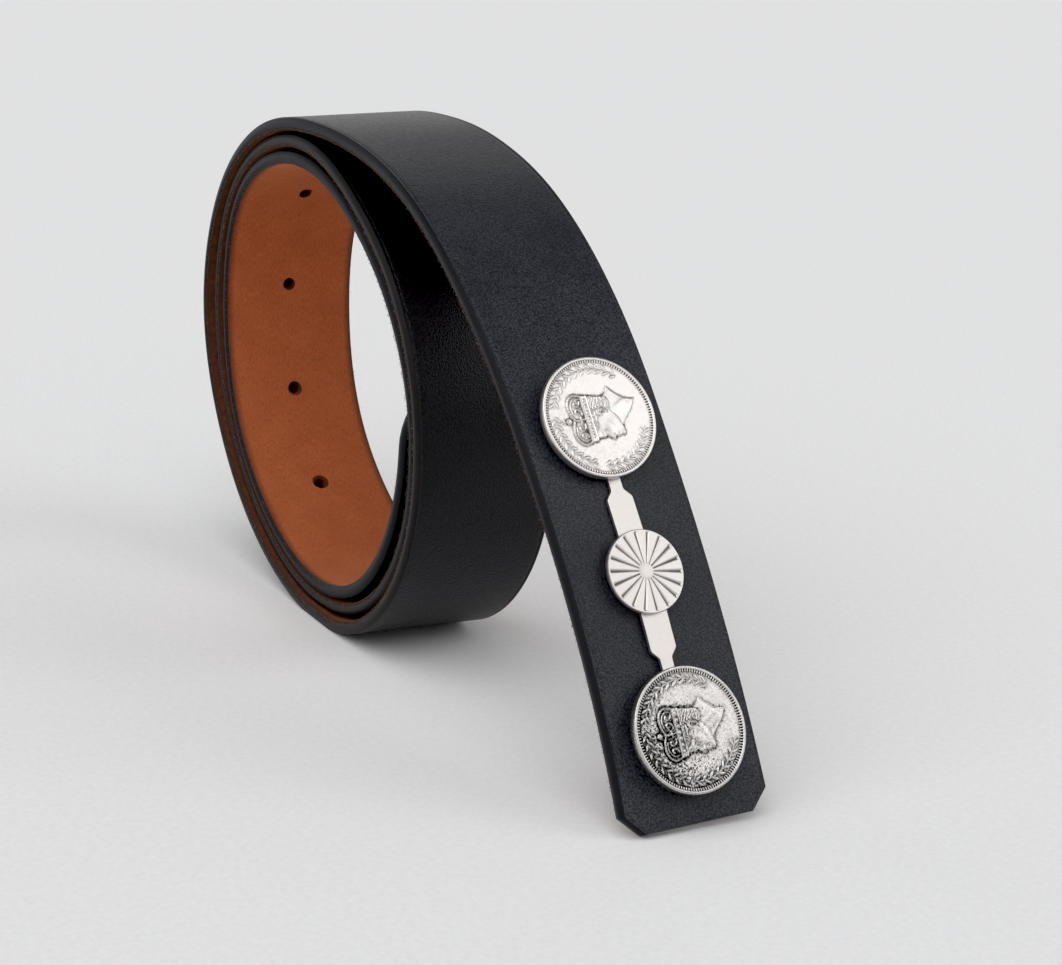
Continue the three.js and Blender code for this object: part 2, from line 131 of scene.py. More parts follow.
def natural_spline(at, values, wanted):
    """Natural cubic spline through rows of values: the values and slopes at the wanted distances."""
    count = len(at)
    h = np.diff(at)
    pull = np.eye(count)
    jump = np.zeros(values.shape)
    for i in range(1, count - 1):
        pull[i, i - 1 : i + 2] = h[i - 1], 2 * (h[i - 1] + h[i]), h[i]
        jump[i] = 6 * ((values[i + 1] - values[i]) / h[i] - (values[i] - values[i - 1]) / h[i - 1])
    bend = np.linalg.solve(pull, jump)
    i = np.clip(np.searchsorted(at, wanted) - 1, 0, count - 2)
    step = h[i][:, None]
    a = (at[i + 1] - wanted)[:, None] / step
    b = (wanted - at[i])[:, None] / step
    curved = (a**3 - a) * bend[i] + (b**3 - b) * bend[i + 1]
    value = a * values[i] + b * values[i + 1] + curved * step**2 / 6
    slope = (values[i + 1] - values[i]) / step
    slope = slope + ((1 - 3 * a * a) * bend[i] + (3 * b * b - 1) * bend[i + 1]) * step / 6
    return value, slope


def unit(vectors):
    return vectors / np.linalg.norm(vectors, axis=-1, keepdims=True)


knots = strap_knots()
knot_at = np.concatenate([[0], np.cumsum(np.linalg.norm(np.diff(knots[:, :3], axis=0), axis=1))])


def strap_frame(s):
    """Near edge of the grain face at distances s, with the directions along, across and out of it."""
    value, slope = natural_spline(knot_at, knots, s)
    along = unit(slope[:, :3])
    level = unit(np.array([0.0, 1.0, 0.0]) - along[:, 1:2] * along)
    up = np.cross(along, level)
    turned = -np.radians(value[:, 3:4])
    across = level * np.cos(turned) + up * np.sin(turned)
    return value[:, :3].copy(), across, np.cross(along, across)


def find_tip():
    """The tip ends where the near bottom corner of its flesh side reaches the floor."""
    s = np.arange(knot_at[-1], 0, -0.01)
    edge, across, out = strap_frame(s)
    low = edge[:, 2] + tip_corner * across[:, 2] - leather * out[:, 2]
    return s[np.argmax(low >= floor_level)]


tip = find_tip()


def laid_frame(s):
    """The strap's frame at distances s, with the roll's outermost turn laid flat on the floor."""
    edge, across, out = strap_frame(s)
    flat = (edge[:, 2] < floor_level) & (s < tip - 2 * strap_width)
    edge[flat, 2] = floor_level
    out[flat] = (0, 0, -1)
    across[flat] = (0, 1, 0)
    return edge, across, out


# The cut section: a broad bevel with a creased line on the grain side, a small one on the flesh side
grain_bevel = 0.8
flesh_bevel = 0.45
wall_dome = 0.28
crease_inset = 1.35
crease_width = 0.22
crease_depth = 0.14


def section():
    """Points of the section as across, depth and part, from the near grain bevel round the far edge."""
    # Columns of the grain face from its edge inwards, close together over the crease
    half_columns = [grain_bevel, 1.0, 1.15, 1.35, 1.55, 1.7, 2.4, 4.5, 8.0, 12.0, 16.0]
    across = np.array(half_columns + [strap_width - u for u in reversed(half_columns)])
    inset = np.minimum(across, strap_width - across)
    dip = crease_depth * np.exp(-(((inset - crease_inset) / crease_width) ** 2))
    points = [(u, d, "grain") for u, d in zip(across, dip)]
    wall = []
    for turn in np.radians([22.5, 45, 67.5, 90]):
        set_in = wall_dome + (grain_bevel - wall_dome) * (1 - math.sin(turn))
        wall.append((set_in, grain_bevel * (1 - math.cos(turn))))
    middle = (grain_bevel + leather - flesh_bevel) / 2
    reach = (leather - flesh_bevel - grain_bevel) / 2
    for part in (-0.6, -0.2, 0.2, 0.6):
        wall.append((wall_dome * part * part, middle + part * reach))
    for turn in np.radians([0, 30, 60, 90]):
        set_in = wall_dome + (flesh_bevel - wall_dome) * (1 - math.cos(turn))
        wall.append((set_in, leather - flesh_bevel * (1 - math.sin(turn))))
    points += [(strap_width - u, d, "edge") for u, d in wall]
    flesh = [2.0, 5.0, 9.0, 14.0]
    flesh_across = [strap_width - u for u in flesh] + [strap_width / 2] + list(reversed(flesh))
    points += [(u, leather, "flesh") for u in flesh_across]
    points += [(u, d, "edge") for u, d in reversed(wall)]
    return points


station_step = 1.6
end_round = 0.5


def strap_stations():
    """Distances along the strap, with how far its sides are drawn in and its ends rounded there."""
    nose = np.radians([tail_nose, 12, 16, 20, 25, 30, 36, 42, 50, 58, 66, 74, 82])
    tail = tail_round * (1 - np.cos(nose))
    ends = end_round * (1 - np.cos(np.radians(np.linspace(0, 90, 5))))
    body = np.arange(tail_round, tip - end_round - 0.3, station_step)
    at_corner = tip - tip_corner + np.arange(-1.2, 1.3, 0.2)
    s = np.concatenate([tail[0] + ends, tail, body, at_corner, tip - ends])
    s = np.unique(np.round(s, 3))
    s = s[np.concatenate([[True], np.diff(s) > 0.02])]
    round_tail = tail_round - np.sqrt(tail_round**2 - np.clip(tail_round - s, 0, None) ** 2)
    drawn_in = np.maximum(round_tail, s - (tip - tip_corner))
    from_end = np.clip(np.minimum(s - s[0], s[-1] - s) / end_round, 0, 1)
    pinch = end_round * (1 - np.sqrt(1 - (1 - from_end) ** 2))
    return s, drawn_in, pinch


section_border = 2.4


def strap_points(s, drawn_in, pinch, ring):
    """Points of the strap's sections, in metres from the middle of the base."""
    edge, across, out = laid_frame(s)
    u = np.array([p[0] for p in ring])
    depth = np.array([p[1] for p in ring])
    # The borders keep their width where the strap is drawn in, and the middle narrows
    near = np.minimum(u, section_border)
    far = np.maximum(u - (strap_width - section_border), 0)
    middle = strap_width - 2 * section_border
    part = np.clip((u - section_border) / middle, 0, 1)
    wide = drawn_in[:, None] + near + part * (middle - 2 * drawn_in[:, None]) + far
    squeeze = (leather - 2 * pinch) / leather
    depth = leather / 2 + (depth[None, :] - leather / 2) * squeeze[:, None]
    points = edge[:, None, :] + across[:, None, :] * wide[:, :, None]
    points = points - out[:, None, :] * depth[:, :, None]
    return (points + row_shift) * mm


def strap_mesh(name):
    ring = section()
    s, drawn_in, pinch = strap_stations()
    points = strap_points(s, drawn_in, pinch, ring)
    rows, count = points.shape[:2]
    grid = np.arange(rows * count).reshape(rows, count)
    a = grid[:-1, :]
    b = np.roll(grid, -1, axis=1)[:-1, :]
    c = np.roll(grid, -1, axis=1)[1:, :]
    d = grid[1:, :]
    quads = np.stack([a, b, c, d], axis=-1).reshape(-1, 4)
    faces = quads.tolist()
    faces.append(list(reversed(grid[0].tolist())))
    faces.append(grid[-1].tolist())
    mesh = bpy.data.meshes.new(name)
    mesh.from_pydata(points.reshape(-1, 3).tolist(), [], faces)
    part = [p[2] for p in ring]
    slots = {"grain": 0, "edge": 1, "flesh": 2}
    column_slot = []
    for j in range(count):
        pair = (part[j], part[(j + 1) % count])
        face_part = "flesh" if "flesh" in pair else "edge" if "edge" in pair else "grain"
        column_slot.append(slots[face_part])
    face_slot = np.tile(column_slot, rows - 1).tolist() + [1, 1]
    mesh.polygons.foreach_set("material_index", face_slot)
    # The sheet map gives the distance round the section and along the strap,
    # and the cut map the depth in the leather and the distance across it
    path = np.array([(p[0], p[1]) for p in ring])
    steps = np.linalg.norm(np.diff(np.vstack([path, path[:1]]), axis=0), axis=1)
    around = np.concatenate([[0], np.cumsum(steps)])
    corner_column = np.array([0, 1, 1, 0])
    corner_row = np.array([0, 0, 1, 1])
    j, i = np.meshgrid(np.arange(count), np.arange(rows - 1))
    wrap = (j[..., None] + corner_column) % count
    sheet_u = around[j[..., None] + corner_column]
    sheet_v = s[i[..., None] + corner_row]
    cut_u = path[wrap, 1]
    cut_v = path[wrap, 0]
    ends = np.array([path[k] for k in reversed(range(count))] + [path[k] for k in range(count)])
    sheet = np.concatenate([np.stack([sheet_u, sheet_v], -1).reshape(-1, 2), ends])
    cut = np.concatenate([np.stack([cut_u, cut_v], -1).reshape(-1, 2), ends[:, ::-1]])
    for layer, values in (("sheet", sheet), ("cut", cut)):
        uv = mesh.uv_layers.new(name=layer)
        uv.data.foreach_set("uv", (values * mm).astype(np.float32).ravel())
    mesh.polygons.foreach_set("use_smooth", [True] * (len(faces) - 2) + [False] * 2)
    mesh.update()
    return mesh


def new_object(name, mesh):
    made = bpy.data.objects.new(name, mesh)
    bpy.context.scene.collection.objects.link(made)
    return made


strap = new_object("strap_leather", strap_mesh("strap_leather"))

# The buckle's holes are punched behind the coins, and four sizing holes in the tail
tail_hole_radius = 1.65
tail_hole_angles = [129.6, 159.3, 187, 214.6]
post_hole_radius = 1.85
post_hole_reach = 12
buckle_middle = np.array([114.6, 18.4, 50.4])
buckle_lean = 59.0
buckle_swing = 9.9
buckle_turn = 6.0
buckle_bow = 2.6
coin_pitch = 36.1
bar_top = -1.2
bar_thickness = 0.9
gap = 0.3


def buckle_frame():
    """Frame of the buckle, in millimetres: X across the strap, Y up along it, Z out of it."""
    lean = math.radians(buckle_lean)
    swing = math.radians(buckle_swing)
    turn = math.radians(buckle_turn)
    along = Vector((math.cos(lean) * math.cos(swing), math.cos(lean) * math.sin(swing), -math.sin(lean)))
    level = Vector((-math.sin(swing), math.cos(swing), 0))
    up = along.cross(level)
    across = level * math.cos(turn) + up * math.sin(turn)
    out = along.cross(across)
    matrix = Matrix((across, -along, out)).transposed().to_4x4()
    matrix.translation = Vector(buckle_middle + row_shift)
    return matrix


def coin_frame(end):
    """Frame of a coin, its underside at zero: end is 1 for the upper coin and -1 for the lower one."""
    bow = Matrix.Rotation(math.radians(-end * buckle_bow), 4, "X")
    return buckle_frame() @ bow @ Matrix.Translation((0, end * coin_pitch, bar_top + gap))


def punch(matrix, rows):
    """A round cutter about the matrix's Z axis, through rows of radius and level in millimetres."""
    shape = bmesh.new()
    turns = np.radians(np.arange(0, 360, 9))
    rings = [[shape.verts.new((r * math.cos(t), r * math.sin(t), z)) for t in turns] for r, z in rows]
    for lower, upper in zip(rings[:-1], rings[1:]):
        for i in range(len(turns)):
            shape.faces.new((lower[i - 1], lower[i], upper[i], upper[i - 1])).smooth = True
    shape.faces.new(list(reversed(rings[0])))
    shape.faces.new(rings[-1])
    bmesh.ops.transform(shape, matrix=Matrix.Scale(mm, 4) @ matrix, verts=shape.verts)
    return shape


# Each tail hole's lip is drawn in towards the flesh side
cutters = []
lip = 0.7
cut_past = 0.4
for angle in tail_hole_angles:
    radius = float(np.interp(angle, column(roll, "angle"), column(roll, "inner")))
    side = strap_width / 2 + float(np.interp(angle, column(drift, "angle"), column(drift, "side")))
    turn = math.radians(angle)
    away = Vector((math.cos(turn), 0, -math.sin(turn)))
    matrix = away.to_track_quat("Z", "Y").to_matrix().to_4x4()
    matrix.translation = Vector((roll_middle[0], side, roll_middle[1])) + Vector(row_shift)
    flesh_face = radius - leather
    cutters.append(punch(matrix, [
        (tail_hole_radius + lip, flesh_face - 1.5), (tail_hole_radius + lip, flesh_face),
        (tail_hole_radius + 0.3 * lip, flesh_face + 0.25 * lip), (tail_hole_radius, flesh_face + lip),
        (tail_hole_radius, radius + cut_past),
    ]))
for end in (1, -1):
    cutters.append(punch(coin_frame(end), [
        (post_hole_radius, -post_hole_reach), (post_hole_radius, -bar_thickness - gap),
    ]))
cutter_mesh = bpy.data.meshes.new("punches")
joined = bmesh.new()
for shape in cutters:
    part_mesh = bpy.data.meshes.new("punch")
    shape.to_mesh(part_mesh)
    joined.from_mesh(part_mesh)
    bpy.data.meshes.remove(part_mesh)
joined.to_mesh(cutter_mesh)
cutter = new_object("punches", cutter_mesh)


def applied(piece):
    """The piece's mesh with its modifiers applied, in place of the one it has."""
    depsgraph = bpy.context.evaluated_depsgraph_get()
    made = bpy.data.meshes.new_from_object(piece.evaluated_get(depsgraph))
    piece.modifiers.clear()
    piece.data = made
    return made


cut = strap.modifiers.new("holes", "BOOLEAN")
cut.operation = "DIFFERENCE"
cut.solver = "EXACT"
cut.object = cutter


# Black grain: chrome-tanned, drum-dyed full-grain leather with a thin satin finish.
# It gives a charcoal ground with a fine closed pebble, and a soft sheen where it turns from the light.
def linear(code):
    """Linear colour of an sRGB hex code."""
    parts = [int(code[i : i + 2], 16) / 255 for i in (1, 3, 5)]
    return [c / 12.92 if c <= 0.04045 else ((c + 0.055) / 1.055) ** 2.4 for c in parts] + [1.0]


def add(tree, kind, settings=None, **sockets):
    """Adds a node; a socket takes a value, a colour, an output, or a node's first output in use."""
    node = tree.nodes.new("ShaderNode" + kind)
    for name, value in (settings or {}).items():
        setattr(node, name, value)
    for name, value in sockets.items():
        numbered = name[0] == "i" and name[1:].isdigit()
        socket = node.inputs[int(name[1:]) if numbered else name.replace("_", " ")]
        if isinstance(value, bpy.types.Node):
            value = next(output for output in value.outputs if output.enabled)
        if isinstance(value, bpy.types.NodeSocket):
            tree.links.new(value, socket)
        else:
            socket.default_value = value
    return node


def material(name):
    made = bpy.data.materials.new(name)
    made.use_nodes = True
    made.node_tree.nodes.clear()
    return made, made.node_tree


def finish_material(tree, shader):
    add(tree, "OutputMaterial", Surface=shader)


pebble = 0.45
pore = 0.26
grain_black, tree = material("full_grain_leather_black_satin")
place = add(tree, "TexCoord").outputs["Object"]
blotch = add(tree, "TexNoise", Vector=place, Scale=1 / (38 * mm), Detail=3.0, Roughness=0.6)
fleck = add(tree, "TexNoise", Vector=place, Scale=1 / (1.1 * mm), Detail=2.0, Roughness=0.7)
cells = add(
    tree, "TexVoronoi", {"feature": "SMOOTH_F1"},
    Vector=place, Scale=1 / (pebble * mm), Smoothness=0.45, Randomness=1.0,
)
pores = add(tree, "TexNoise", Vector=place, Scale=1 / (pore * mm), Detail=1.0, Roughness=0.5)
tone = add(tree, "Math", {"operation": "MULTIPLY_ADD"}, i0=fleck, i1=0.08, i2=blotch)
tone = add(tree, "Math", {"operation": "MULTIPLY_ADD"}, i0=pores, i1=1.6, i2=tone)
tone = add(tree, "MapRange", Value=tone, From_Min=1.0, From_Max=1.75)
roll_tone_waxed_and_shaded = add(tree, "Mix", {"data_type": "RGBA"}, i0=tone, i6=linear("#121317"), i7=linear("#222328"))
free_end_tone_dry_and_lit = add(tree, "Mix", {"data_type": "RGBA"}, i0=tone, i6=linear("#212229"), i7=linear("#474952"))
# The free end is painted lighter and a little bluer than the roll: partly the wax worn off where it is
# handled most, and partly painted light for the sheen the free end catches, with painted shade on the
# roll's turns.
sheet_map = add(tree, "UVMap", {"uv_map": "sheet"})
run = add(tree, "SeparateXYZ", Vector=sheet_map)
by_run = add(tree, "MapRange", Value=run.outputs["Y"], From_Min=1135 * mm, From_Max=1190 * mm)
ground = add(tree, "Mix", {"data_type": "RGBA"}, i0=by_run, i6=roll_tone_waxed_and_shaded, i7=free_end_tone_dry_and_lit)
valley = add(tree, "MapRange", Value=cells, From_Min=0.3, From_Max=0.65, To_Max=0.7)
shade = add(tree, "Mix", {"data_type": "RGBA"}, i0=valley, i6=ground, i7=linear("#08090d"))
rough = add(tree, "MapRange", Value=fleck, From_Min=0.3, From_Max=0.7, To_Min=0.33, To_Max=0.42)
height = add(tree, "Math", {"operation": "MULTIPLY_ADD"}, i0=pores, i1=0.5, i2=cells)
grain_bump = add(tree, "Bump", {"invert": True}, Strength=0.6, Distance=0.16 * mm, Height=height)
shader = add(tree, "BsdfPrincipled", Base_Color=shade, Roughness=rough, IOR=1.38, Normal=grain_bump)
finish_material(tree, shader)

# Painted edge: several coats of acrylic edge paint, sanded and burnished between coats.
# It gives a blue-grey satin band with faint streaks along it, and brown fibres where it stops short.
edge_paint, tree = material("edge_paint_acrylic_burnished")
place = add(tree, "TexCoord").outputs["Object"]
cut_map = add(tree, "UVMap", {"uv_map": "cut"})
depth = add(tree, "SeparateXYZ", Vector=cut_map)
sheet_map = add(tree, "UVMap", {"uv_map": "sheet"})
stretched = add(tree, "VectorMath", {"operation": "MULTIPLY"}, i0=sheet_map, i1=(1.0, 0.05, 1.0))
streaks = add(tree, "TexNoise", Vector=stretched, Scale=1 / (0.35 * mm), Detail=2.0)
ragged = add(tree, "TexNoise", Vector=place, Scale=1 / (1.6 * mm), Detail=4.0, Roughness=0.75)
fibres = add(tree, "TexNoise", Vector=place, Scale=1 / (0.3 * mm), Detail=2.0, Roughness=0.8)
limit = add(tree, "Math", {"operation": "MULTIPLY_ADD"}, i0=ragged, i1=1.3 * mm, i2=depth.outputs["X"])
# The turn that is handled least has the cleanest edge
run = add(tree, "SeparateXYZ", Vector=sheet_map)
by_run = add(
    tree, "MapRange",
    Value=run.outputs["Y"], From_Min=340 * mm, From_Max=440 * mm, To_Min=-0.5 * mm, To_Max=0.35 * mm,
)
limit = add(tree, "Math", {"operation": "ADD"}, i0=limit, i1=by_run)
bare = add(tree, "MapRange", Value=limit, From_Min=3.75 * mm, From_Max=4.05 * mm)
coat = add(tree, "Mix", {"data_type": "RGBA"}, i0=streaks, i6=linear("#0c0e13"), i7=linear("#1c2129"))
top = add(tree, "MapRange", Value=depth.outputs["X"], From_Min=0.1 * mm, From_Max=0.85 * mm)
coat = add(tree, "Mix", {"data_type": "RGBA"}, i0=top, i6=linear("#0d0e11"), i7=coat)
# The paint thins towards the flesh side, and the brown under it shows in streaks on the outer turns
thin = add(
    tree, "MapRange",
    Value=depth.outputs["X"], From_Min=0.7 * mm, From_Max=3.0 * mm, To_Min=0.3, To_Max=1.0,
)
streaky = add(tree, "MapRange", Value=streaks, From_Min=0.35, From_Max=0.6, To_Min=0.3, To_Max=1.0)
handled = add(
    tree, "MapRange",
    Value=run.outputs["Y"], From_Min=340 * mm, From_Max=440 * mm, To_Min=0.25, To_Max=0.95,
)
thin = add(tree, "Math", {"operation": "MULTIPLY"}, i0=thin, i1=streaky)
free = add(
    tree, "MapRange",
    Value=run.outputs["Y"], From_Min=950 * mm, From_Max=1050 * mm, To_Min=1.0, To_Max=0.25,
)
thin = add(tree, "Math", {"operation": "MULTIPLY"}, i0=thin, i1=handled)
thin = add(tree, "Math", {"operation": "MULTIPLY"}, i0=thin, i1=free)
coat = add(tree, "Mix", {"data_type": "RGBA"}, i0=thin, i6=coat, i7=linear("#33261f"))
fibre_tone = add(
    tree, "Mix", {"data_type": "RGBA"},
    i0=fibres, i6=linear("#1d120d"), i7=linear("#5c3c28"),
)
shade = add(tree, "Mix", {"data_type": "RGBA"}, i0=bare, i6=coat, i7=fibre_tone)
rough = add(tree, "MapRange", Value=bare, To_Min=0.5, To_Max=0.9)
height = add(tree, "Math", {"operation": "MULTIPLY"}, i0=fibres, i1=bare)
height = add(tree, "Math", {"operation": "MULTIPLY_ADD"}, i0=streaks, i1=0.3, i2=height)
# Sanding has rounded the edge, so that both of its borders fall away
to_border = add(tree, "Math", {"operation": "PINGPONG"}, i0=depth.outputs["X"], i1=leather / 2 * mm)
domed = add(
    tree, "MapRange", {"interpolation_type": "SMOOTHSTEP"},
    Value=to_border, From_Min=0.0, From_Max=1.3 * mm, To_Min=0.0, To_Max=3.2,
)
height = add(tree, "Math", {"operation": "ADD"}, i0=height, i1=domed)
bump = add(tree, "Bump", Strength=0.9, Distance=0.16 * mm, Height=height)
shader = add(tree, "BsdfPrincipled", Base_Color=shade, Roughness=rough, IOR=1.3, Normal=bump)
finish_material(tree, shader)

# Flesh side: the split underside of the hide, dyed tan and buffed to a short nap.
# It gives a warm matt orange-brown with soft blotches, short fibres and a few darker pores.
flesh_tan, tree = material("leather_flesh_side_buffed_tan")
place = add(tree, "TexCoord").outputs["Object"]
sheet_map = add(tree, "UVMap", {"uv_map": "sheet"})
blotch = add(tree, "TexNoise", Vector=place, Scale=1 / (9 * mm), Detail=4.0, Roughness=0.65)
patch = add(tree, "TexNoise", Vector=place, Scale=1 / (2.0 * mm), Detail=3.0, Roughness=0.7)
combed = add(tree, "VectorMath", {"operation": "MULTIPLY"}, i0=sheet_map, i1=(1.0, 0.3, 1.0))
nap = add(tree, "TexNoise", Vector=combed, Scale=1 / (0.4 * mm), Detail=3.0, Roughness=0.8)
dots = add(tree, "TexVoronoi", Vector=place, Scale=1 / (2.6 * mm), Randomness=1.0)
tone = add(tree, "Math", {"operation": "MULTIPLY_ADD"}, i0=patch, i1=0.6, i2=blotch)
tone = add(tree, "MapRange", Value=tone, From_Min=0.4, From_Max=1.2)
ground = add(tree, "Mix", {"data_type": "RGBA"}, i0=tone, i6=linear("#914a27"), i7=linear("#a85a33"))
fuzz = add(tree, "MapRange", Value=nap, From_Min=0.3, From_Max=0.7, To_Min=0.72, To_Max=1.28)
# Painted light and shade: the tan is painted a little darker round the foot of the innermost turn and
# lighter from its top on
run = add(tree, "SeparateXYZ", Vector=sheet_map)
painted_light_toward_top = add(
    tree, "MapRange",
    Value=run.outputs["Y"], From_Min=190 * mm, From_Max=280 * mm, To_Min=0.95, To_Max=1.14,
)
fuzz = add(tree, "Math", {"operation": "MULTIPLY"}, i0=fuzz, i1=painted_light_toward_top)
lit = add(tree, "Mix", {"data_type": "RGBA", "blend_type": "MULTIPLY"}, i0=1.0, i6=ground, i7=fuzz)
speck = add(tree, "MapRange", Value=dots, From_Min=0.06, From_Max=0.14, To_Min=0.45, To_Max=0.0)
shade = add(tree, "Mix", {"data_type": "RGBA"}, i0=speck, i6=lit, i7=linear("#5c2a14"))
# Past the innermost turn it is painted dark: painted shade where it lies between the turns, and dye from
# the black grain
from_here = add(tree, "MapRange", Value=run.outputs["Y"], From_Min=350 * mm, From_Max=385 * mm)
turn_dye_and_painted_shade = add(tree, "MapRange", Value=patch, From_Min=0.35, From_Max=0.65, To_Min=0.6, To_Max=0.9)
turn_dye_and_painted_shade = add(tree, "Math", {"operation": "MULTIPLY"}, i0=turn_dye_and_painted_shade, i1=from_here)
shade = add(tree, "Mix", {"data_type": "RGBA"}, i0=turn_dye_and_painted_shade, i6=shade, i7=linear("#3a251d"))
# It is darker a little way in from both edges: dye crept in from the edges, and painted shade on the
# slivers between turns
cut_map = add(tree, "UVMap", {"uv_map": "cut"})
across = add(tree, "SeparateXYZ", Vector=cut_map)
other_way = add(tree, "Math", {"operation": "SUBTRACT"}, i0=strap_width * mm, i1=across.outputs["Y"])
inset = add(tree, "Math", {"operation": "MINIMUM"}, i0=across.outputs["Y"], i1=other_way)
ragged_inset = add(tree, "Math", {"operation": "MULTIPLY_ADD"}, i0=patch, i1=-1.2 * mm, i2=inset)
border_dye_and_painted_shade = add(tree, "MapRange", Value=ragged_inset, From_Min=-0.2 * mm, From_Max=1.9 * mm, To_Min=0.9, To_Max=0.0)
shade = add(tree, "Mix", {"data_type": "RGBA"}, i0=border_dye_and_painted_shade, i6=shade, i7=linear("#3e2014"))
bump = add(tree, "Bump", Strength=0.5, Distance=0.12 * mm, Height=nap)
shader = add(
    tree, "BsdfPrincipled", Base_Color=shade, Roughness=0.88, IOR=1.45,
    Sheen_Weight=0.25, Sheen_Roughness=0.5, Sheen_Tint=linear("#e0a070"), Normal=bump,
)
finish_material(tree, shader)

for look in (grain_black, edge_paint, flesh_tan):
    strap.data.materials.append(look)
cutter.data.materials.append(flesh_tan)
applied(strap)
bpy.data.objects.remove(cutter)
strap.data.set_sharp_from_angle(angle=math.radians(50))
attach(strap, "root")
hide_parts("strap")

# Raw fibres up to half a millimetre long stand out of both edges where the paint stops
fibre_count = 3600
fibre_longest = 0.5
fibre_thick = 0.045
clean_run = 330.0
chance = np.random.default_rng(11)
fibre_at = np.sort(chance.uniform(tail_round, tip - 6.0, fibre_count))
# Most of the innermost turn's fibres are moved on, because its edge is the cleanest
moved_on = (chance.random(fibre_count) < 0.7) * clean_run
fibre_at = np.where(fibre_at < clean_run, fibre_at + moved_on, fibre_at)
edge_rows, across_rows, out_rows = laid_frame(fibre_at)
along_rows = np.cross(across_rows, out_rows)
far_side = chance.random(fibre_count) < 0.15
outward = np.where(far_side, 1.0, -1.0)[:, None] * across_rows
depth = leather - flesh_bevel * chance.uniform(0.1, 1.4, fibre_count)
root_across = np.where(far_side, strap_width - 0.1, 0.1)
roots = edge_rows + across_rows * root_across[:, None] - out_rows * depth[:, None]
lean = outward * chance.uniform(0.4, 1.0, (fibre_count, 1))
lean = lean - out_rows * chance.uniform(-0.3, 0.3, (fibre_count, 1))
lean = unit(lean + along_rows * chance.normal(0, 0.9, (fibre_count, 1)))
bend = lean + along_rows * chance.normal(0, 0.8, (fibre_count, 1))
bend = unit(bend + out_rows * chance.normal(0, 0.3, (fibre_count, 1)))
length = fibre_longest * chance.uniform(0.3, 1.0, (fibre_count, 1))
middles = roots + lean * length * 0.5
tips = middles + bend * length * 0.5
keep = tips[:, 2] > floor_level + 0.1
side_a = unit(np.cross(lean, out_rows + 0.01)) * fibre_thick
side_b = unit(np.cross(lean, side_a)) * fibre_thick
fibre_points = []
fibre_faces = []
for i in np.nonzero(keep)[0]:
    start = len(fibre_points)
    for centre, wide in ((roots[i] - lean[i] * 0.1, 1.0), (middles[i], 0.8)):
        for a, b in ((1.0, 0.0), (-0.5, 0.87), (-0.5, -0.87)):
            fibre_points.append(centre + wide * (a * side_a[i] + b * side_b[i]))
    fibre_points.append(tips[i])
    for k in range(3):
        n = (k + 1) % 3
        fibre_faces.append((start + k, start + n, start + 3 + n, start + 3 + k))
        fibre_faces.append((start + 3 + k, start + 3 + n, start + 6))
    fibre_faces.append((start + 2, start + 1, start))
fibre_mesh = bpy.data.meshes.new("edge_fibres")
fibre_mesh.from_pydata(((np.array(fibre_points) + row_shift) * mm).tolist(), [], fibre_faces)
edge_fibres = new_object("edge_fibres", fibre_mesh)
# Loose collagen fibres: pale brown, matt and dusty
fibre_raw, tree = material("leather_fibres_raw")
place = add(tree, "TexCoord").outputs["Object"]
mixed = add(tree, "TexNoise", Vector=place, Scale=1 / (2.0 * mm), Detail=2.0)
shade = add(tree, "Mix", {"data_type": "RGBA"}, i0=mixed, i6=linear("#382e28"), i7=linear("#8c7a6c"))
shader = add(tree, "BsdfPrincipled", Base_Color=shade, Roughness=0.9, Sheen_Weight=0.2)
finish_material(tree, shader)
edge_fibres.data.materials.append(fibre_raw)
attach(edge_fibres, "root")

# Posts
# Two turned steel pins with flat heads hold the buckle: each head bears on the flesh side behind a coin.
# Their turned faces have a fine haze.
turned_steel, tree = material("stainless_steel_turned")
place = add(tree, "TexCoord").outputs["Object"]
haze = add(tree, "TexNoise", Vector=place, Scale=1 / (2.5 * mm), Detail=3.0)
fine = add(tree, "TexNoise", Vector=place, Scale=1 / (0.2 * mm), Detail=2.0)
shade = add(tree, "Mix", {"data_type": "RGBA"}, i0=haze, i6=linear("#a2a3a6"), i7=linear("#bdbdbf"))
rough = add(tree, "MapRange", Value=haze, To_Min=0.28, To_Max=0.42)
bump = add(tree, "Bump", Strength=0.2, Distance=0.02 * mm, Height=fine)
shader = add(tree, "BsdfPrincipled", Base_Color=shade, Metallic=1.0, Roughness=rough, Normal=bump)
finish_material(tree, shader)
for end in ("upper", "lower"):
    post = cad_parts[f"post_{end}"]
    post.data.materials.clear()
    post.data.materials.append(turned_steel)

# Sunburst link
# One nickel-plated casting: a domed disc with eighteen cut rays on a flat bar with a neck at each end.
# The bar passes under both coins, and its plating has a warm satin face.
disc_radius = 9.6
disc_thickness = 2.4
ray_count = 18
ray_from = 1.75
ray_to = 9.15
ray_inner_width = 0.3
ray_outer_width = 1.0
ray_depth = 0.3
dome_height = 0.12
boss_radius = 1.6
boss_height = 0.06
pip_pitch = 0.75
pip_height = 0.02
disc_border = 0.18
disc_grid = 168


def disc_grid_points(count, radius):
    """A square grid laid round on a disc, so that its rows end on the rim."""
    step = np.linspace(-1, 1, count + 1)
    x, y = np.meshgrid(step, step, indexing="ij")
    with np.errstate(divide="ignore", invalid="ignore"):
        wide = np.abs(x) > np.abs(y)
        reach = np.where(wide, x, y)
        turn = np.where(wide, np.pi / 4 * y / x, np.pi / 2 - np.pi / 4 * x / y)
    turn = np.where(reach == 0, 0.0, turn)
    return radius * reach * np.cos(turn), radius * reach * np.sin(turn)


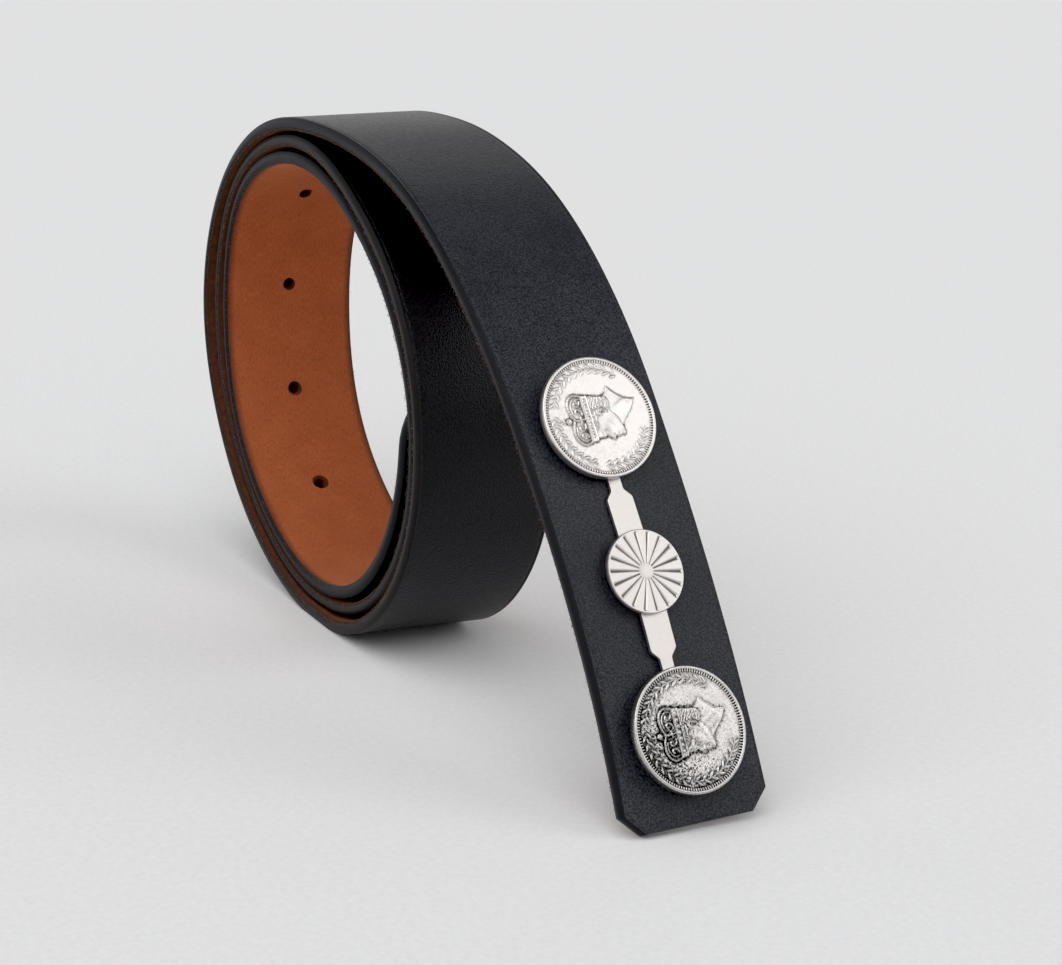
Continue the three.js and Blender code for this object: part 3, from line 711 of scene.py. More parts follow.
def relief_disc(name, count, radius, relief, wall, matrix):
    """A closed disc: its face follows the relief, and its wall and back the rows of radius and level."""
    x, y = disc_grid_points(count, radius)
    z, hollow = relief(x.ravel(), y.ravel())
    points = np.stack([x.ravel(), y.ravel(), z], axis=-1)
    index = np.arange((count + 1) ** 2).reshape(count + 1, count + 1)
    corners = [index[:-1, :-1], index[1:, :-1], index[1:, 1:], index[:-1, 1:]]
    quads = np.stack(corners, axis=-1).reshape(-1, 4)
    rim = np.concatenate([index[:-1, 0], index[-1, :-1], index[:0:-1, -1], index[0, :0:-1]])
    around = unit(points[rim, :2])
    rings = [rim]
    extra = []
    start = len(points)
    for row in wall:
        extra.append(np.column_stack([around * row["radius"], np.full(len(rim), row["z"])]))
        rings.append(np.arange(start, start + len(rim)))
        start += len(rim)
    points = np.vstack([points] + extra)
    hollow = np.concatenate([hollow, np.zeros(len(points) - len(hollow))])
    sides = []
    for upper, lower in zip(rings[:-1], rings[1:]):
        sides.append(np.stack([upper, lower, np.roll(lower, -1), np.roll(upper, -1)], axis=-1))
    faces = np.concatenate([quads] + sides).tolist()
    faces.append(rings[-1][::-1].tolist())
    mesh = bpy.data.meshes.new(name)
    mesh.from_pydata(points.tolist(), [], faces)
    face_map = mesh.uv_layers.new(name="face")
    corner = np.zeros(len(mesh.loops), np.int32)
    mesh.loops.foreach_get("vertex_index", corner)
    face_map.data.foreach_set("uv", (points[corner, :2] / radius).astype(np.float32).ravel())
    recess = mesh.attributes.new("recess", "FLOAT", "POINT")
    recess.data.foreach_set("value", hollow.astype(np.float32))
    mesh.polygons.foreach_set("use_smooth", [True] * len(faces))
    mesh.transform(Matrix.Scale(mm, 4) @ matrix)
    mesh.set_sharp_from_angle(angle=math.radians(48))
    return mesh


def smooth_step(value):
    t = np.clip(value, 0, 1)
    return t * t * (3 - 2 * t)


def sunburst_relief(x, y):
    r = np.hypot(x, y)
    sector = 2 * np.pi / ray_count
    turn = np.arctan2(y, x)
    off = (np.mod(turn, sector) - sector / 2) * r
    along = np.clip((r - ray_from) / (ray_to - ray_from), 0, 1)
    half = (ray_inner_width + (ray_outer_width - ray_inner_width) * along) / 2
    ends = smooth_step((r - ray_from + 0.15) / 0.35) * smooth_step((ray_to - r + 0.1) / 0.45)
    groove = np.clip(1 - np.abs(off) / half, 0, 1) ** 0.8 * ends
    dome = dome_height * (1 - (r / disc_radius) ** 2)
    boss = boss_height * smooth_step((boss_radius + 0.5 - r) / 1.1)
    pips = pip_height * np.cos(x * 2 * np.pi / pip_pitch) * np.cos(y * 2 * np.pi / pip_pitch)
    pips = pips * smooth_step((boss_radius + 0.3 - r) / 0.4)
    z = dome + boss + pips - (ray_depth * (0.55 + 0.45 * along)) * groove
    return z, groove


link_wall = [
    {"radius": disc_radius, "z": -0.22},
    {"radius": disc_radius, "z": bar_top},
    {"radius": disc_radius - 0.25, "z": -1.5},
    {"radius": disc_radius - 0.9, "z": -disc_thickness},
]
disc_face = disc_radius - disc_border
link = new_object("sunburst_link_cast", relief_disc(
    "sunburst_link_cast", disc_grid, disc_face, sunburst_relief, link_wall, buckle_frame(),
))

bar_half = 3.35
bar_start = 4.0
neck_half = 1.6
shoulder_start = 17.6
shoulder_end = 19.5
shoulder_round = 0.5
tab_radius = 4.0
bar_edge = 0.16


def fillet(points, radius, steps=4):
    """The closed outline with each corner rounded off where its sides are long enough."""
    made = []
    count = len(points)
    for i in range(count):
        before, here, after = (Vector(points[(i + k) % count]) for k in (-1, 0, 1))
        to_before = before - here
        to_after = after - here
        reach = min(radius, to_before.length * 0.45, to_after.length * 0.45)
        start = here + to_before.normalized() * reach
        end = here + to_after.normalized() * reach
        for k in range(steps + 1):
            t = k / steps
            made.append((start * (1 - t) + here * t) * (1 - t) + (here * (1 - t) + end * t) * t)
    return made


def bar_outline():
    tab_start = coin_pitch - math.sqrt(tab_radius**2 - neck_half**2)
    opening = math.asin(neck_half / tab_radius)
    right = [(bar_half, bar_start), (bar_half, shoulder_start), (neck_half, shoulder_end)]
    shoulder = fillet([(0, bar_start)] + right + [(neck_half, tab_start), (0, tab_start)], shoulder_round)
    side = [p for p in shoulder if p.x > neck_half - 0.01 and bar_start < p.y < tab_start - 0.5]
    arc = []
    for turn in np.linspace(-math.pi / 2 + opening, math.pi / 2, 20):
        arc.append(Vector((tab_radius * math.cos(turn), coin_pitch + tab_radius * math.sin(turn))))
    half = [Vector((bar_half, bar_start))] + side + arc
    mirrored = [Vector((-p.x, p.y)) for p in reversed(half[:-1])]
    return half + mirrored


def bar_mesh(name, end):
    """One arm of the bar: a flat plate with a small soft edge all round; its post's hole is cut
    afterwards.
    """
    outline = bar_outline()
    shape = bmesh.new()
    levels = [(bar_edge, 0.0), (bar_edge * 0.3, bar_edge * 0.3), (0.0, bar_edge), (0.0, bar_thickness)]
    rings = []
    for inset, drop in levels:
        ring = []
        count = len(outline)
        for i, p in enumerate(outline):
            side = outline[(i + 1) % count] - outline[i - 1]
            inward = Vector((-side.y, side.x)).normalized()
            q = p + inward * inset
            ring.append(shape.verts.new((q.x, q.y, bar_top - drop)))
        rings.append(ring)
    for upper, lower in zip(rings[:-1], rings[1:]):
        for i in range(len(upper)):
            j = (i + 1) % len(upper)
            shape.faces.new((upper[i], lower[i], lower[j], upper[j]))
    for side in shape.faces:
        side.smooth = True
    shape.faces.new(rings[0])
    shape.faces.new(list(reversed(rings[-1])))
    bmesh.ops.recalc_face_normals(shape, faces=shape.faces)
    mesh = bpy.data.meshes.new(name)
    shape.to_mesh(mesh)
    flip = Matrix.Rotation(0 if end > 0 else math.pi, 4, "Z")
    bow = Matrix.Rotation(math.radians(-end * buckle_bow), 4, "X")
    mesh.transform(Matrix.Scale(mm, 4) @ buckle_frame() @ bow @ flip)
    mesh.set_sharp_from_angle(angle=math.radians(18))
    return mesh


# Satin nickel: bright nickel plate over the casting, brushed lightly along the bar.
# It gives a pale warm metal with soft broad reflections and dark oxide left in the cut rays.
nickel_satin, tree = material("nickel_plate_satin")
place = add(tree, "TexCoord").outputs["Object"]
hollow = add(tree, "Attribute", {"attribute_name": "recess"})
haze = add(tree, "TexNoise", Vector=place, Scale=1 / (3.0 * mm), Detail=4.0, Roughness=0.6)
fine = add(tree, "TexNoise", Vector=place, Scale=1 / (0.28 * mm), Detail=2.0, Roughness=0.7)
plate = add(tree, "Mix", {"data_type": "RGBA"}, i0=haze, i6=linear("#ccc6c2"), i7=linear("#e4dfdb"))
dark = add(
    tree, "MapRange",
    Value=hollow.outputs["Fac"], From_Min=0.4, From_Max=0.95, To_Min=0.0, To_Max=0.95,
)
shade = add(tree, "Mix", {"data_type": "RGBA"}, i0=dark, i6=plate, i7=linear("#38342f"))
rough = add(tree, "MapRange", Value=haze, From_Min=0.3, From_Max=0.7, To_Min=0.36, To_Max=0.42)
bump = add(tree, "Bump", Strength=0.5, Distance=0.04 * mm, Height=fine)
shader = add(tree, "BsdfPrincipled", Base_Color=shade, Metallic=1.0, Roughness=rough, Normal=bump)
finish_material(tree, shader)

arms = []
for side, end in (("upper", 1), ("lower", -1)):
    arm = new_object(f"link_bar_{side}", bar_mesh(f"link_bar_{side}", end))
    hole = bpy.data.meshes.new("hole")
    shape = punch(coin_frame(end), [(post_hole_radius, -4), (post_hole_radius, 1)])
    shape.to_mesh(hole)
    hole_cutter = new_object("hole", hole)
    cut = arm.modifiers.new("hole", "BOOLEAN")
    cut.operation = "DIFFERENCE"
    cut.solver = "EXACT"
    cut.object = hole_cutter
    applied(arm)
    bpy.data.objects.remove(hole_cutter)
    arm.data.materials.append(nickel_satin)
    arms.append(arm)
link.data.materials.append(nickel_satin)
for piece in [link] + arms:
    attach(piece, "root")
    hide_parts("sunburst_link")

# Coins
# Two struck nickel-alloy coins of 28.4 mm, each with a raised rim, a toothed border and a crowned head.
# The head is turned so that its crown lies at the strap's near edge, and the lower coin is tarnished.
coin_radius = 14.2
coin_thickness = 2.1
field = 1.75
dish = 0.05
rim_inner = 13.42
teeth_inner = 12.78
tooth_height = 0.2
tooth_count = 132
coin_border = 0.15
coin_grid = 264
socket_depth = 0.9


def smooth_path(rows, steps=6):
    """Open curve through rows of u and v."""
    points = np.array(rows, float)
    at = np.concatenate([[0], np.cumsum(np.linalg.norm(np.diff(points, axis=0), axis=1))])
    wanted = np.interp(np.linspace(0, len(at) - 1, steps * (len(at) - 1) + 1), np.arange(len(at)), at)
    return natural_spline(at, points, wanted)[0]


def outline(*strokes):
    """Closed outline of smooth strokes that meet in corners."""
    return np.vstack([smooth_path(stroke)[:-1] for stroke in strokes])


def from_path(u, v, path):
    """Distance to an open path."""
    best = np.full(u.shape, 1e9)
    for (au, av), (bu, bv) in zip(path[:-1], path[1:]):
        du, dv = bu - au, bv - av
        t = np.clip(((u - au) * du + (v - av) * dv) / (du * du + dv * dv), 0, 1)
        best = np.minimum(best, (u - au - t * du) ** 2 + (v - av - t * dv) ** 2)
    return np.sqrt(best)


def inside(u, v, closed):
    """Distance to a closed outline, positive inside it."""
    loop = np.vstack([closed, closed[:1]])
    crossings = np.zeros(u.shape, bool)
    for (au, av), (bu, bv) in zip(loop[:-1], loop[1:]):
        spans = (av > v) != (bv > v)
        with np.errstate(divide="ignore", invalid="ignore"):
            crossings ^= spans & (u < (bu - au) * (v - av) / (bv - av) + au)
    return np.where(crossings, 1, -1) * from_path(u, v, loop)


# The head faces left with the crown up: U to the right and V up, in millimetres from the coin's middle
head_outline = outline(
    [(-4.75, 2.4), (-4.95, 1.4), (-4.9, 0.6), (-5.02, 0.15), (-4.72, -0.4), (-5.1, -1.2), (-5.85, -2.15)],
    [(-5.85, -2.15), (-5.7, -2.5), (-5.1, -2.7), (-5.12, -3.05), (-5.35, -3.4), (-5.08, -3.62)],
    [
        (-5.08, -3.62), (-5.25, -3.92), (-4.9, -4.3), (-5.08, -4.85), (-4.75, -5.4),
        (-3.9, -5.6), (-2.2, -5.2),
    ],
    [
        (-2.2, -5.2), (-0.4, -4.6), (0.7, -3.6), (1.6, -3.0), (3.0, -3.4), (4.55, -2.6),
        (4.9, -0.6), (5.3, 1.4), (5.2, 2.4),
    ],
    [(5.2, 2.4), (0, 2.6), (-4.75, 2.4)],
)
neck_outline = outline(
    [(-3.2, -5.0), (-1.9, -6.1), (-0.7, -7.3), (0.9, -8.9), (3.0, -10.1)],
    [(3.0, -10.1), (3.4, -8.1), (4.7, -5.9), (6.7, -3.9)],
    [(6.7, -3.9), (5.4, -2.9), (4.9, -1.6), (4.9, -0.4)],
    [(4.9, -0.4), (0, -1), (-3.2, -5.0)],
)
hair_outline = outline(
    [(-3.6, 2.4), (-2.9, 1.3), (-1.5, 0.8), (-0.2, 0.9), (0.2, 0.4), (0.1, -0.9), (0.55, -0.4)],
    [
        (0.55, -0.4), (1.3, 0.3), (2.1, -0.4), (2.0, -1.7), (1.6, -2.7), (3.1, -3.3),
        (4.45, -2.6), (4.8, -0.6), (5.2, 1.4), (5.1, 2.4),
    ],
    [(5.1, 2.4), (0, 2.6), (-3.6, 2.4)],
)
crown_outline = outline(
    [(-5.5, 3.9), (-5.95, 5.4), (-5.1, 6.9), (-3.4, 7.6), (-1.5, 7.4), (0, 6.7)],
    [(0, 6.7), (1.5, 7.4), (3.4, 7.6), (5.1, 6.9), (5.95, 5.4), (5.5, 3.9)],
    [(5.5, 3.9), (0, 3.9), (-5.5, 3.9)],
)
band_outline = outline(
    [(-5.35, 2.05), (0, 2.0), (5.35, 2.05)],
    [(5.35, 2.05), (5.6, 3.95)],
    [(5.6, 3.95), (0, 3.9), (-5.6, 3.95)],
    [(-5.6, 3.95), (-5.35, 2.05)],
)

# Soft mounds and hollows, each as long and wide as its sizes say, turned by its degrees
mounds = [
    {"form": "brow", "u": -3.9, "v": 0.25, "long": 1.3, "wide": 0.42, "turn": 8, "height": 0.10},
    {"form": "socket", "u": -3.75, "v": -0.5, "long": 0.95, "wide": 0.6, "turn": 0, "height": -0.13},
    {"form": "eyeball", "u": -3.9, "v": -0.5, "long": 0.5, "wide": 0.34, "turn": 0, "height": 0.13},
    {"form": "temple", "u": -2.2, "v": 0.3, "long": 0.9, "wide": 0.8, "turn": 0, "height": -0.05},
    {"form": "cheek", "u": -2.7, "v": -2.0, "long": 1.5, "wide": 1.2, "turn": 25, "height": 0.12},
    {"form": "nose side", "u": -4.95, "v": -1.6, "long": 0.9, "wide": 0.35, "turn": 62, "height": 0.08},
    {"form": "nose wing", "u": -4.75, "v": -2.3, "long": 0.42, "wide": 0.3, "turn": 20, "height": 0.13},
    {"form": "nostril", "u": -5.2, "v": -2.52, "long": 0.25, "wide": 0.12, "turn": 15, "height": -0.10},
    {
        "form": "beside the mouth", "u": -4.1, "v": -3.3, "long": 0.5, "wide": 0.35, "turn": 80,
        "height": -0.05,
    },
    {"form": "upper lip", "u": -4.85, "v": -3.38, "long": 0.45, "wide": 0.16, "turn": -6, "height": 0.07},
    {"form": "lower lip", "u": -4.8, "v": -3.88, "long": 0.4, "wide": 0.17, "turn": 4, "height": 0.07},
    {"form": "chin", "u": -4.5, "v": -4.95, "long": 0.6, "wide": 0.5, "turn": 0, "height": 0.10},
    {"form": "jaw", "u": -1.4, "v": -3.9, "long": 2.2, "wide": 0.7, "turn": 24, "height": 0.08},
    {"form": "ear hollow", "u": 1.15, "v": -0.95, "long": 0.5, "wide": 0.28, "turn": 80, "height": -0.12},
    {"form": "ear lobe", "u": 0.85, "v": -2.05, "long": 0.3, "wide": 0.26, "turn": 0, "height": 0.12},
    {"form": "neck muscle", "u": 2.6, "v": -6.4, "long": 2.6, "wide": 0.6, "turn": -62, "height": 0.09},
    {"form": "throat", "u": -0.2, "v": -6.6, "long": 1.4, "wide": 0.5, "turn": -58, "height": -0.05},
    {"form": "collar hollow", "u": 3.0, "v": -8.0, "long": 1.2, "wide": 0.4, "turn": 40, "height": -0.05},
]
# Fine raised or sunk lines
lines = [
    {
        "form": "upper lid", "width": 0.12, "height": 0.10,
        "rows": [(-4.45, -0.55), (-4.0, -0.2), (-3.3, -0.4)],
    },
    {
        "form": "lower lid", "width": 0.10, "height": 0.07,
        "rows": [(-4.4, -0.72), (-3.9, -0.86), (-3.4, -0.68)],
    },
    {
        "form": "mouth", "width": 0.09, "height": -0.12,
        "rows": [(-5.15, -3.62), (-4.7, -3.6), (-4.35, -3.66)],
    },
    {
        "form": "ear rim", "width": 0.16, "height": 0.16,
        "rows": [(0.6, -0.7), (0.85, 0.0), (1.5, 0.1), (1.8, -0.6), (1.45, -1.5), (0.95, -2.1)],
    },
    {
        "form": "ear fold", "width": 0.10, "height": 0.08,
        "rows": [(1.0, -0.35), (1.4, -0.5), (1.25, -1.3)],
    },
    {
        "form": "cut of the neck", "width": 0.14, "height": 0.10,
        "rows": [(3.0, -10.1), (3.4, -8.1), (4.7, -5.9), (6.7, -3.9)],
    },
    {"form": "band foot", "rows": [(-5.35, 2.2), (0, 2.15), (5.35, 2.2)], "width": 0.17, "height": 0.16},
    {"form": "band top", "rows": [(-5.55, 3.75), (0, 3.7), (5.55, 3.75)], "width": 0.17, "height": 0.16},
    {
        "form": "front arch", "width": 0.2, "height": 0.28,
        "rows": [(-5.5, 4.0), (-5.8, 5.4), (-5.0, 6.75), (-3.4, 7.35), (-1.5, 7.15), (0, 6.6)],
    },
    {
        "form": "back arch", "width": 0.2, "height": 0.28,
        "rows": [(5.5, 4.0), (5.8, 5.4), (5.0, 6.75), (3.4, 7.35), (1.5, 7.15), (0, 6.6)],
    },
    {
        "form": "inner front arch", "width": 0.12, "height": 0.2,
        "rows": [(-4.7, 4.1), (-4.95, 5.2), (-4.3, 6.2), (-3.2, 6.7), (-1.6, 6.5)],
    },
    {
        "form": "inner back arch", "width": 0.12, "height": 0.2,
        "rows": [(4.7, 4.1), (4.95, 5.2), (4.3, 6.2), (3.2, 6.7), (1.6, 6.5)],
    },
    {"form": "middle arch", "rows": [(0, 5.9), (0, 6.7)], "width": 0.26, "height": 0.2},
    {
        "form": "front scroll", "width": 0.16, "height": 0.28,
        "rows": [(-1.1, 4.2), (-2.0, 4.35), (-2.5, 5.0), (-2.2, 5.7), (-1.6, 5.6), (-1.6, 5.15)],
    },
    {
        "form": "back scroll", "width": 0.16, "height": 0.28,
        "rows": [(1.1, 4.2), (2.0, 4.35), (2.5, 5.0), (2.2, 5.7), (1.6, 5.6), (1.6, 5.15)],
    },
    {
        "form": "outer front scroll", "width": 0.16, "height": 0.26,
        "rows": [(-4.2, 4.15), (-3.5, 4.4), (-3.2, 5.1), (-3.6, 5.7), (-4.1, 5.4)],
    },
    {
        "form": "outer back scroll", "width": 0.16, "height": 0.26,
        "rows": [(4.2, 4.15), (3.5, 4.4), (3.2, 5.1), (3.6, 5.7), (4.1, 5.4)],
    },
    {"form": "cross upright", "rows": [(0, 4.1), (0, 5.5)], "width": 0.22, "height": 0.22},
    {"form": "cross arms", "rows": [(-0.62, 4.85), (0.62, 4.85)], "width": 0.2, "height": 0.22},
    {"form": "orb belt", "rows": [(-0.65, 7.95), (0, 7.85), (0.65, 7.95)], "width": 0.1, "height": 0.1},
    {"form": "top cross upright", "rows": [(0, 8.6), (0, 9.75)], "width": 0.17, "height": 0.2},
    {"form": "top cross arms", "rows": [(-0.5, 9.25), (0.5, 9.25)], "width": 0.16, "height": 0.2},
]
# Sprays of leaves round the border, from one angle to another
sprays = [
    {"start": 50, "end": 163, "leaves": 11},
    {"start": 172, "end": 250, "leaves": 8},
    {"start": 259, "end": 340, "leaves": 8},
]
spray_radius = 11.35
leaf_half_length = 0.98
leaf_half_width = 0.31
leaf_height = 0.19
stem_height = 0.09
strand_pitch = 0.8
pearl_pitch = 1.4
arch_pearls = [(5.5, 4.2), (5.8, 5.4), (5.0, 6.75), (3.4, 7.35), (1.5, 7.15), (0, 6.6)]
orb_middle = 8.0
orb_radius = 0.72


def portrait(u, v):
    """Height of the crowned head above the field."""
    neck = inside(u, v, neck_outline)
    head = inside(u, v, head_outline)
    hair = inside(u, v, hair_outline)
    crown = inside(u, v, crown_outline)
    band = inside(u, v, band_outline)
    on_neck = smooth_step(neck / 0.3)
    on_head = smooth_step(head / 0.28)
    height = on_neck * (0.14 + 0.12 * np.sqrt(np.clip(neck / 3, 0, 1)))
    height = np.maximum(height, on_head * (0.24 + 0.16 * np.sqrt(np.clip(head / 3.2, 0, 1))))
    on_hair = smooth_step((hair + 0.1) / 0.3)
    flow = v + 0.28 * (u - 2.2) ** 2 / 3 + 0.34 * np.sin(u * 1.9) + 0.16 * np.sin(u * 4.3 + v * 1.6)
    strands = 0.5 + 0.5 * np.cos(2 * np.pi * flow / strand_pitch)
    height += on_hair * (0.03 + 0.13 * strands)
    height = np.maximum(height, smooth_step(crown / 0.25) * 0.03)
    on_band = np.maximum(height * (band < 0), smooth_step((band + 0.15) / 0.3) * 0.34)
    height = np.where(band > -0.15, on_band, height)
    body = np.clip(on_neck + on_head, 0, 1)
    for row in mounds:
        turn = math.radians(row["turn"])
        a = ((u - row["u"]) * math.cos(turn) + (v - row["v"]) * math.sin(turn)) / row["long"]
        b = ((v - row["v"]) * math.cos(turn) - (u - row["u"]) * math.sin(turn)) / row["wide"]
        height += row["height"] * np.exp(-(a * a + b * b)) * body
    for row in lines:
        path = np.array(row["rows"], float)
        if len(path) > 2:
            path = smooth_path(path, 4)
        away = from_path(u, v, path)
        height += row["height"] * np.exp(-((away / row["width"]) ** 2))
    for at in np.arange(-3 * pearl_pitch, 3 * pearl_pitch + 0.1, pearl_pitch):
        height += 0.16 * np.exp(-((((u - at) / 0.36) ** 2 + ((v - 2.95) / 0.3) ** 2) ** 1.5))
    for sign in (-1, 1):
        arch = smooth_path([(sign * pu, pv) for pu, pv in arch_pearls], 3)
        for pu, pv in arch[1:-1]:
            height += 0.1 * np.exp(-(((u - pu) ** 2 + (v - pv) ** 2) / 0.2**2) ** 1.5)
    orb = np.hypot(u, v - orb_middle)
    height += 0.34 * np.sqrt(np.clip(1 - (orb / orb_radius) ** 2, 0, 1))
    return height


def border_leaves(x, y):
    """Height of the leaf sprays above the field."""
    height = np.zeros(x.shape)
    r = np.hypot(x, y)
    turn = np.degrees(np.arctan2(y, x)) % 360
    for spray in sprays:
        on_stem = (turn > spray["start"]) & (turn < spray["end"])
        height = np.maximum(height, stem_height * np.exp(-(((r - spray_radius) / 0.1) ** 2)) * on_stem)
        for i in range(spray["leaves"]):
            at = spray["start"] + (spray["end"] - spray["start"]) * (i + 0.5) / spray["leaves"]
            for sign in (-1, 1):
                middle = math.radians(at + sign * 1.2)
                reach = spray_radius + sign * 0.62
                lean = middle + math.radians(90 - sign * 38)
                dx = x - reach * math.cos(middle)
                dy = y - reach * math.sin(middle)
                a = (dx * math.cos(lean) + dy * math.sin(lean)) / leaf_half_length
                b = dy * math.cos(lean) - dx * math.sin(lean)
                wide = leaf_half_width * np.clip(1 - a * a, 0, 1)
                with np.errstate(divide="ignore", invalid="ignore"):
                    across = np.where(wide > 0.01, np.abs(b) / wide, 9)
                vein = 0.05 * np.exp(-((b / 0.08) ** 2)) * (across < 1)
                leaf = leaf_height * np.sqrt(np.clip(1 - across**2, 0, 1)) - vein
                height = np.maximum(height, leaf)
    return height


def coin_surface(x, y):
    """Height of a coin's face, above the plane of its underside."""
    r = np.hypot(x, y)
    turn = np.arctan2(y, x)
    z = np.full(x.shape, field) - dish * (1 - (r / 13) ** 2) * (r < 13)
    near = r < 12.9
    face = np.zeros(x.shape)
    face[near] = portrait(y[near], -x[near])
    leaf = np.zeros(x.shape)
    leaf[near] = border_leaves(x[near], y[near])
    z += np.maximum(face, leaf)
    tooth = 0.5 + 0.5 * np.cos(tooth_count * turn)
    on_step = smooth_step((r - teeth_inner) / 0.14) * (r < 13.6)
    z += tooth_height * smooth_step((tooth - 0.25) / 0.5) * on_step
    rim = smooth_step((r - rim_inner) / 0.16)
    rim_height = coin_thickness - 0.05 * smooth_step((r - 13.9) / 0.14)
    return z * (1 - rim) + rim_height * rim


# How far off the face round a point is looked at, to tell whether the point lies in a recess
recess_reach = 0.42


def coin_relief(x, y):
    """Height of the face, and how deep each point lies below the softened face round it."""
    z = coin_surface(x, y)
    pitch = 0.11
    side = 272
    at = (np.arange(side) - (side - 1) / 2) * pitch
    gx, gy = np.meshgrid(at, at, indexing="ij")
    flat = coin_surface(gx.ravel(), gy.ravel()).reshape(side, side)
    wave = np.fft.fftfreq(side, pitch)
    soft = np.exp(-2 * (np.pi * recess_reach) ** 2 * (wave[:, None] ** 2 + wave[None, :] ** 2))
    blurred = np.real(np.fft.ifft2(np.fft.fft2(flat) * soft))
    px = np.clip((x - at[0]) / pitch, 0, side - 1.001)
    py = np.clip((y - at[0]) / pitch, 0, side - 1.001)
    ix, iy = px.astype(int), py.astype(int)
    fx, fy = px - ix, py - iy
    mean = (
        blurred[ix, iy] * (1 - fx) * (1 - fy) + blurred[ix + 1, iy] * fx * (1 - fy)
        + blurred[ix, iy + 1] * (1 - fx) * fy + blurred[ix + 1, iy + 1] * fx * fy
    )
    return z, (mean - z) * (np.hypot(x, y) < 13.7)


coin_wall = [
    {"radius": coin_radius - 0.05, "z": coin_thickness - 0.1},
    {"radius": coin_radius, "z": coin_thickness - 0.2},
    {"radius": coin_radius, "z": 0.2},
    {"radius": coin_radius - 0.05, "z": 0.06},
    {"radius": coin_radius - 0.2, "z": 0.0},
    {"radius": post_hole_radius, "z": 0.0},
    {"radius": post_hole_radius, "z": socket_depth},
]


# Struck coin metal: a nickel alloy, struck bright and worn by handling.
# It gives mirror-like high points, a softer field with hairlines, and dark tarnish left in the recesses.
def coin_metal(name, bright, dull, tarnish, tarnish_from, tarnish_to, field_stain, stain_size, polish):
    made, tree = material(name)
    place = add(tree, "TexCoord").outputs["Object"]
    face_map = add(tree, "UVMap", {"uv_map": "face"}).outputs[0]
    hollow = add(tree, "Attribute", {"attribute_name": "recess"})
    haze = add(tree, "TexNoise", Vector=place, Scale=1 / (2.6 * mm), Detail=4.0, Roughness=0.65)
    speckle = add(tree, "TexNoise", Vector=place, Scale=1 / (stain_size * mm), Detail=3.0, Roughness=0.75)
    fine = add(tree, "TexNoise", Vector=place, Scale=1 / (0.16 * mm), Detail=2.0, Roughness=0.7)
    turned = add(
        tree, "Mapping",
        Vector=face_map, Rotation=(0, 0, math.radians(35)), Scale=(1.0, 0.03, 1.0),
    )
    hairs = add(tree, "TexNoise", Vector=turned, Scale=90.0, Detail=2.0, Roughness=0.6)
    metal = add(tree, "Mix", {"data_type": "RGBA"}, i0=haze, i6=linear(dull), i7=linear(bright))
    depth = add(
        tree, "Math", {"operation": "MULTIPLY_ADD"},
        i0=speckle, i1=0.06, i2=hollow.outputs["Fac"],
    )
    dark = add(tree, "MapRange", Value=depth, From_Min=tarnish_from, From_Max=tarnish_to)
    # The stain is thickest towards the near lower part of the coin and breaks up into specks away from it
    side = add(tree, "VectorMath", {"operation": "DOT_PRODUCT"}, i0=face_map, i1=(-0.85, -0.5, 0.0))
    shift = add(tree, "Math", {"operation": "MULTIPLY_ADD"}, i0=side, i1=0.17, i2=speckle)
    stain = add(
        tree, "MapRange",
        Value=shift, From_Min=0.56, From_Max=0.63, To_Min=0.0, To_Max=field_stain,
    )
    # Handling keeps the far side of the relief and the whole rim clean
    held = add(tree, "MapRange", Value=shift, From_Min=0.4, From_Max=0.52, To_Min=0.4, To_Max=1.0)
    from_middle = add(tree, "VectorMath", {"operation": "LENGTH"}, i0=face_map)
    # Between the teeth the dark stays all round: dirt that no finger reaches, and painted shade for the
    # rim's shaded inner side
    teeth = add(tree, "MapRange", Value=from_middle, From_Min=0.895, From_Max=0.915)
    held = add(tree, "Math", {"operation": "MAXIMUM"}, i0=held, i1=teeth)
    dark = add(tree, "Math", {"operation": "MULTIPLY"}, i0=dark, i1=held)
    in_field = add(
        tree, "MapRange",
        Value=from_middle, From_Min=0.9, From_Max=0.95, To_Min=1.0, To_Max=0.0,
    )
    stain = add(tree, "Math", {"operation": "MULTIPLY"}, i0=stain, i1=in_field)
    both = add(tree, "Math", {"operation": "MAXIMUM"}, i0=dark, i1=stain)
    raised = add(
        tree, "MapRange",
        Value=hollow.outputs["Fac"], From_Min=-0.12, From_Max=-0.02, To_Min=0.15, To_Max=1.0,
    )
    cover = add(tree, "Math", {"operation": "MULTIPLY"}, i0=both, i1=raised)
    shade = add(tree, "Mix", {"data_type": "RGBA"}, i0=cover, i6=metal, i7=linear(tarnish))
    rough = add(tree, "MapRange", Value=cover, To_Min=polish, To_Max=0.55)
    height = add(tree, "Math", {"operation": "MULTIPLY_ADD"}, i0=hairs, i1=0.6, i2=fine)
    height = add(tree, "Math", {"operation": "MULTIPLY_ADD"}, i0=speckle, i1=field_stain * 2, i2=height)
    bump = add(tree, "Bump", Strength=0.6, Distance=0.04 * mm, Height=height)
    shader = add(tree, "BsdfPrincipled", Base_Color=shade, Metallic=1.0, Roughness=rough, Normal=bump)
    finish_material(tree, shader)
    return made


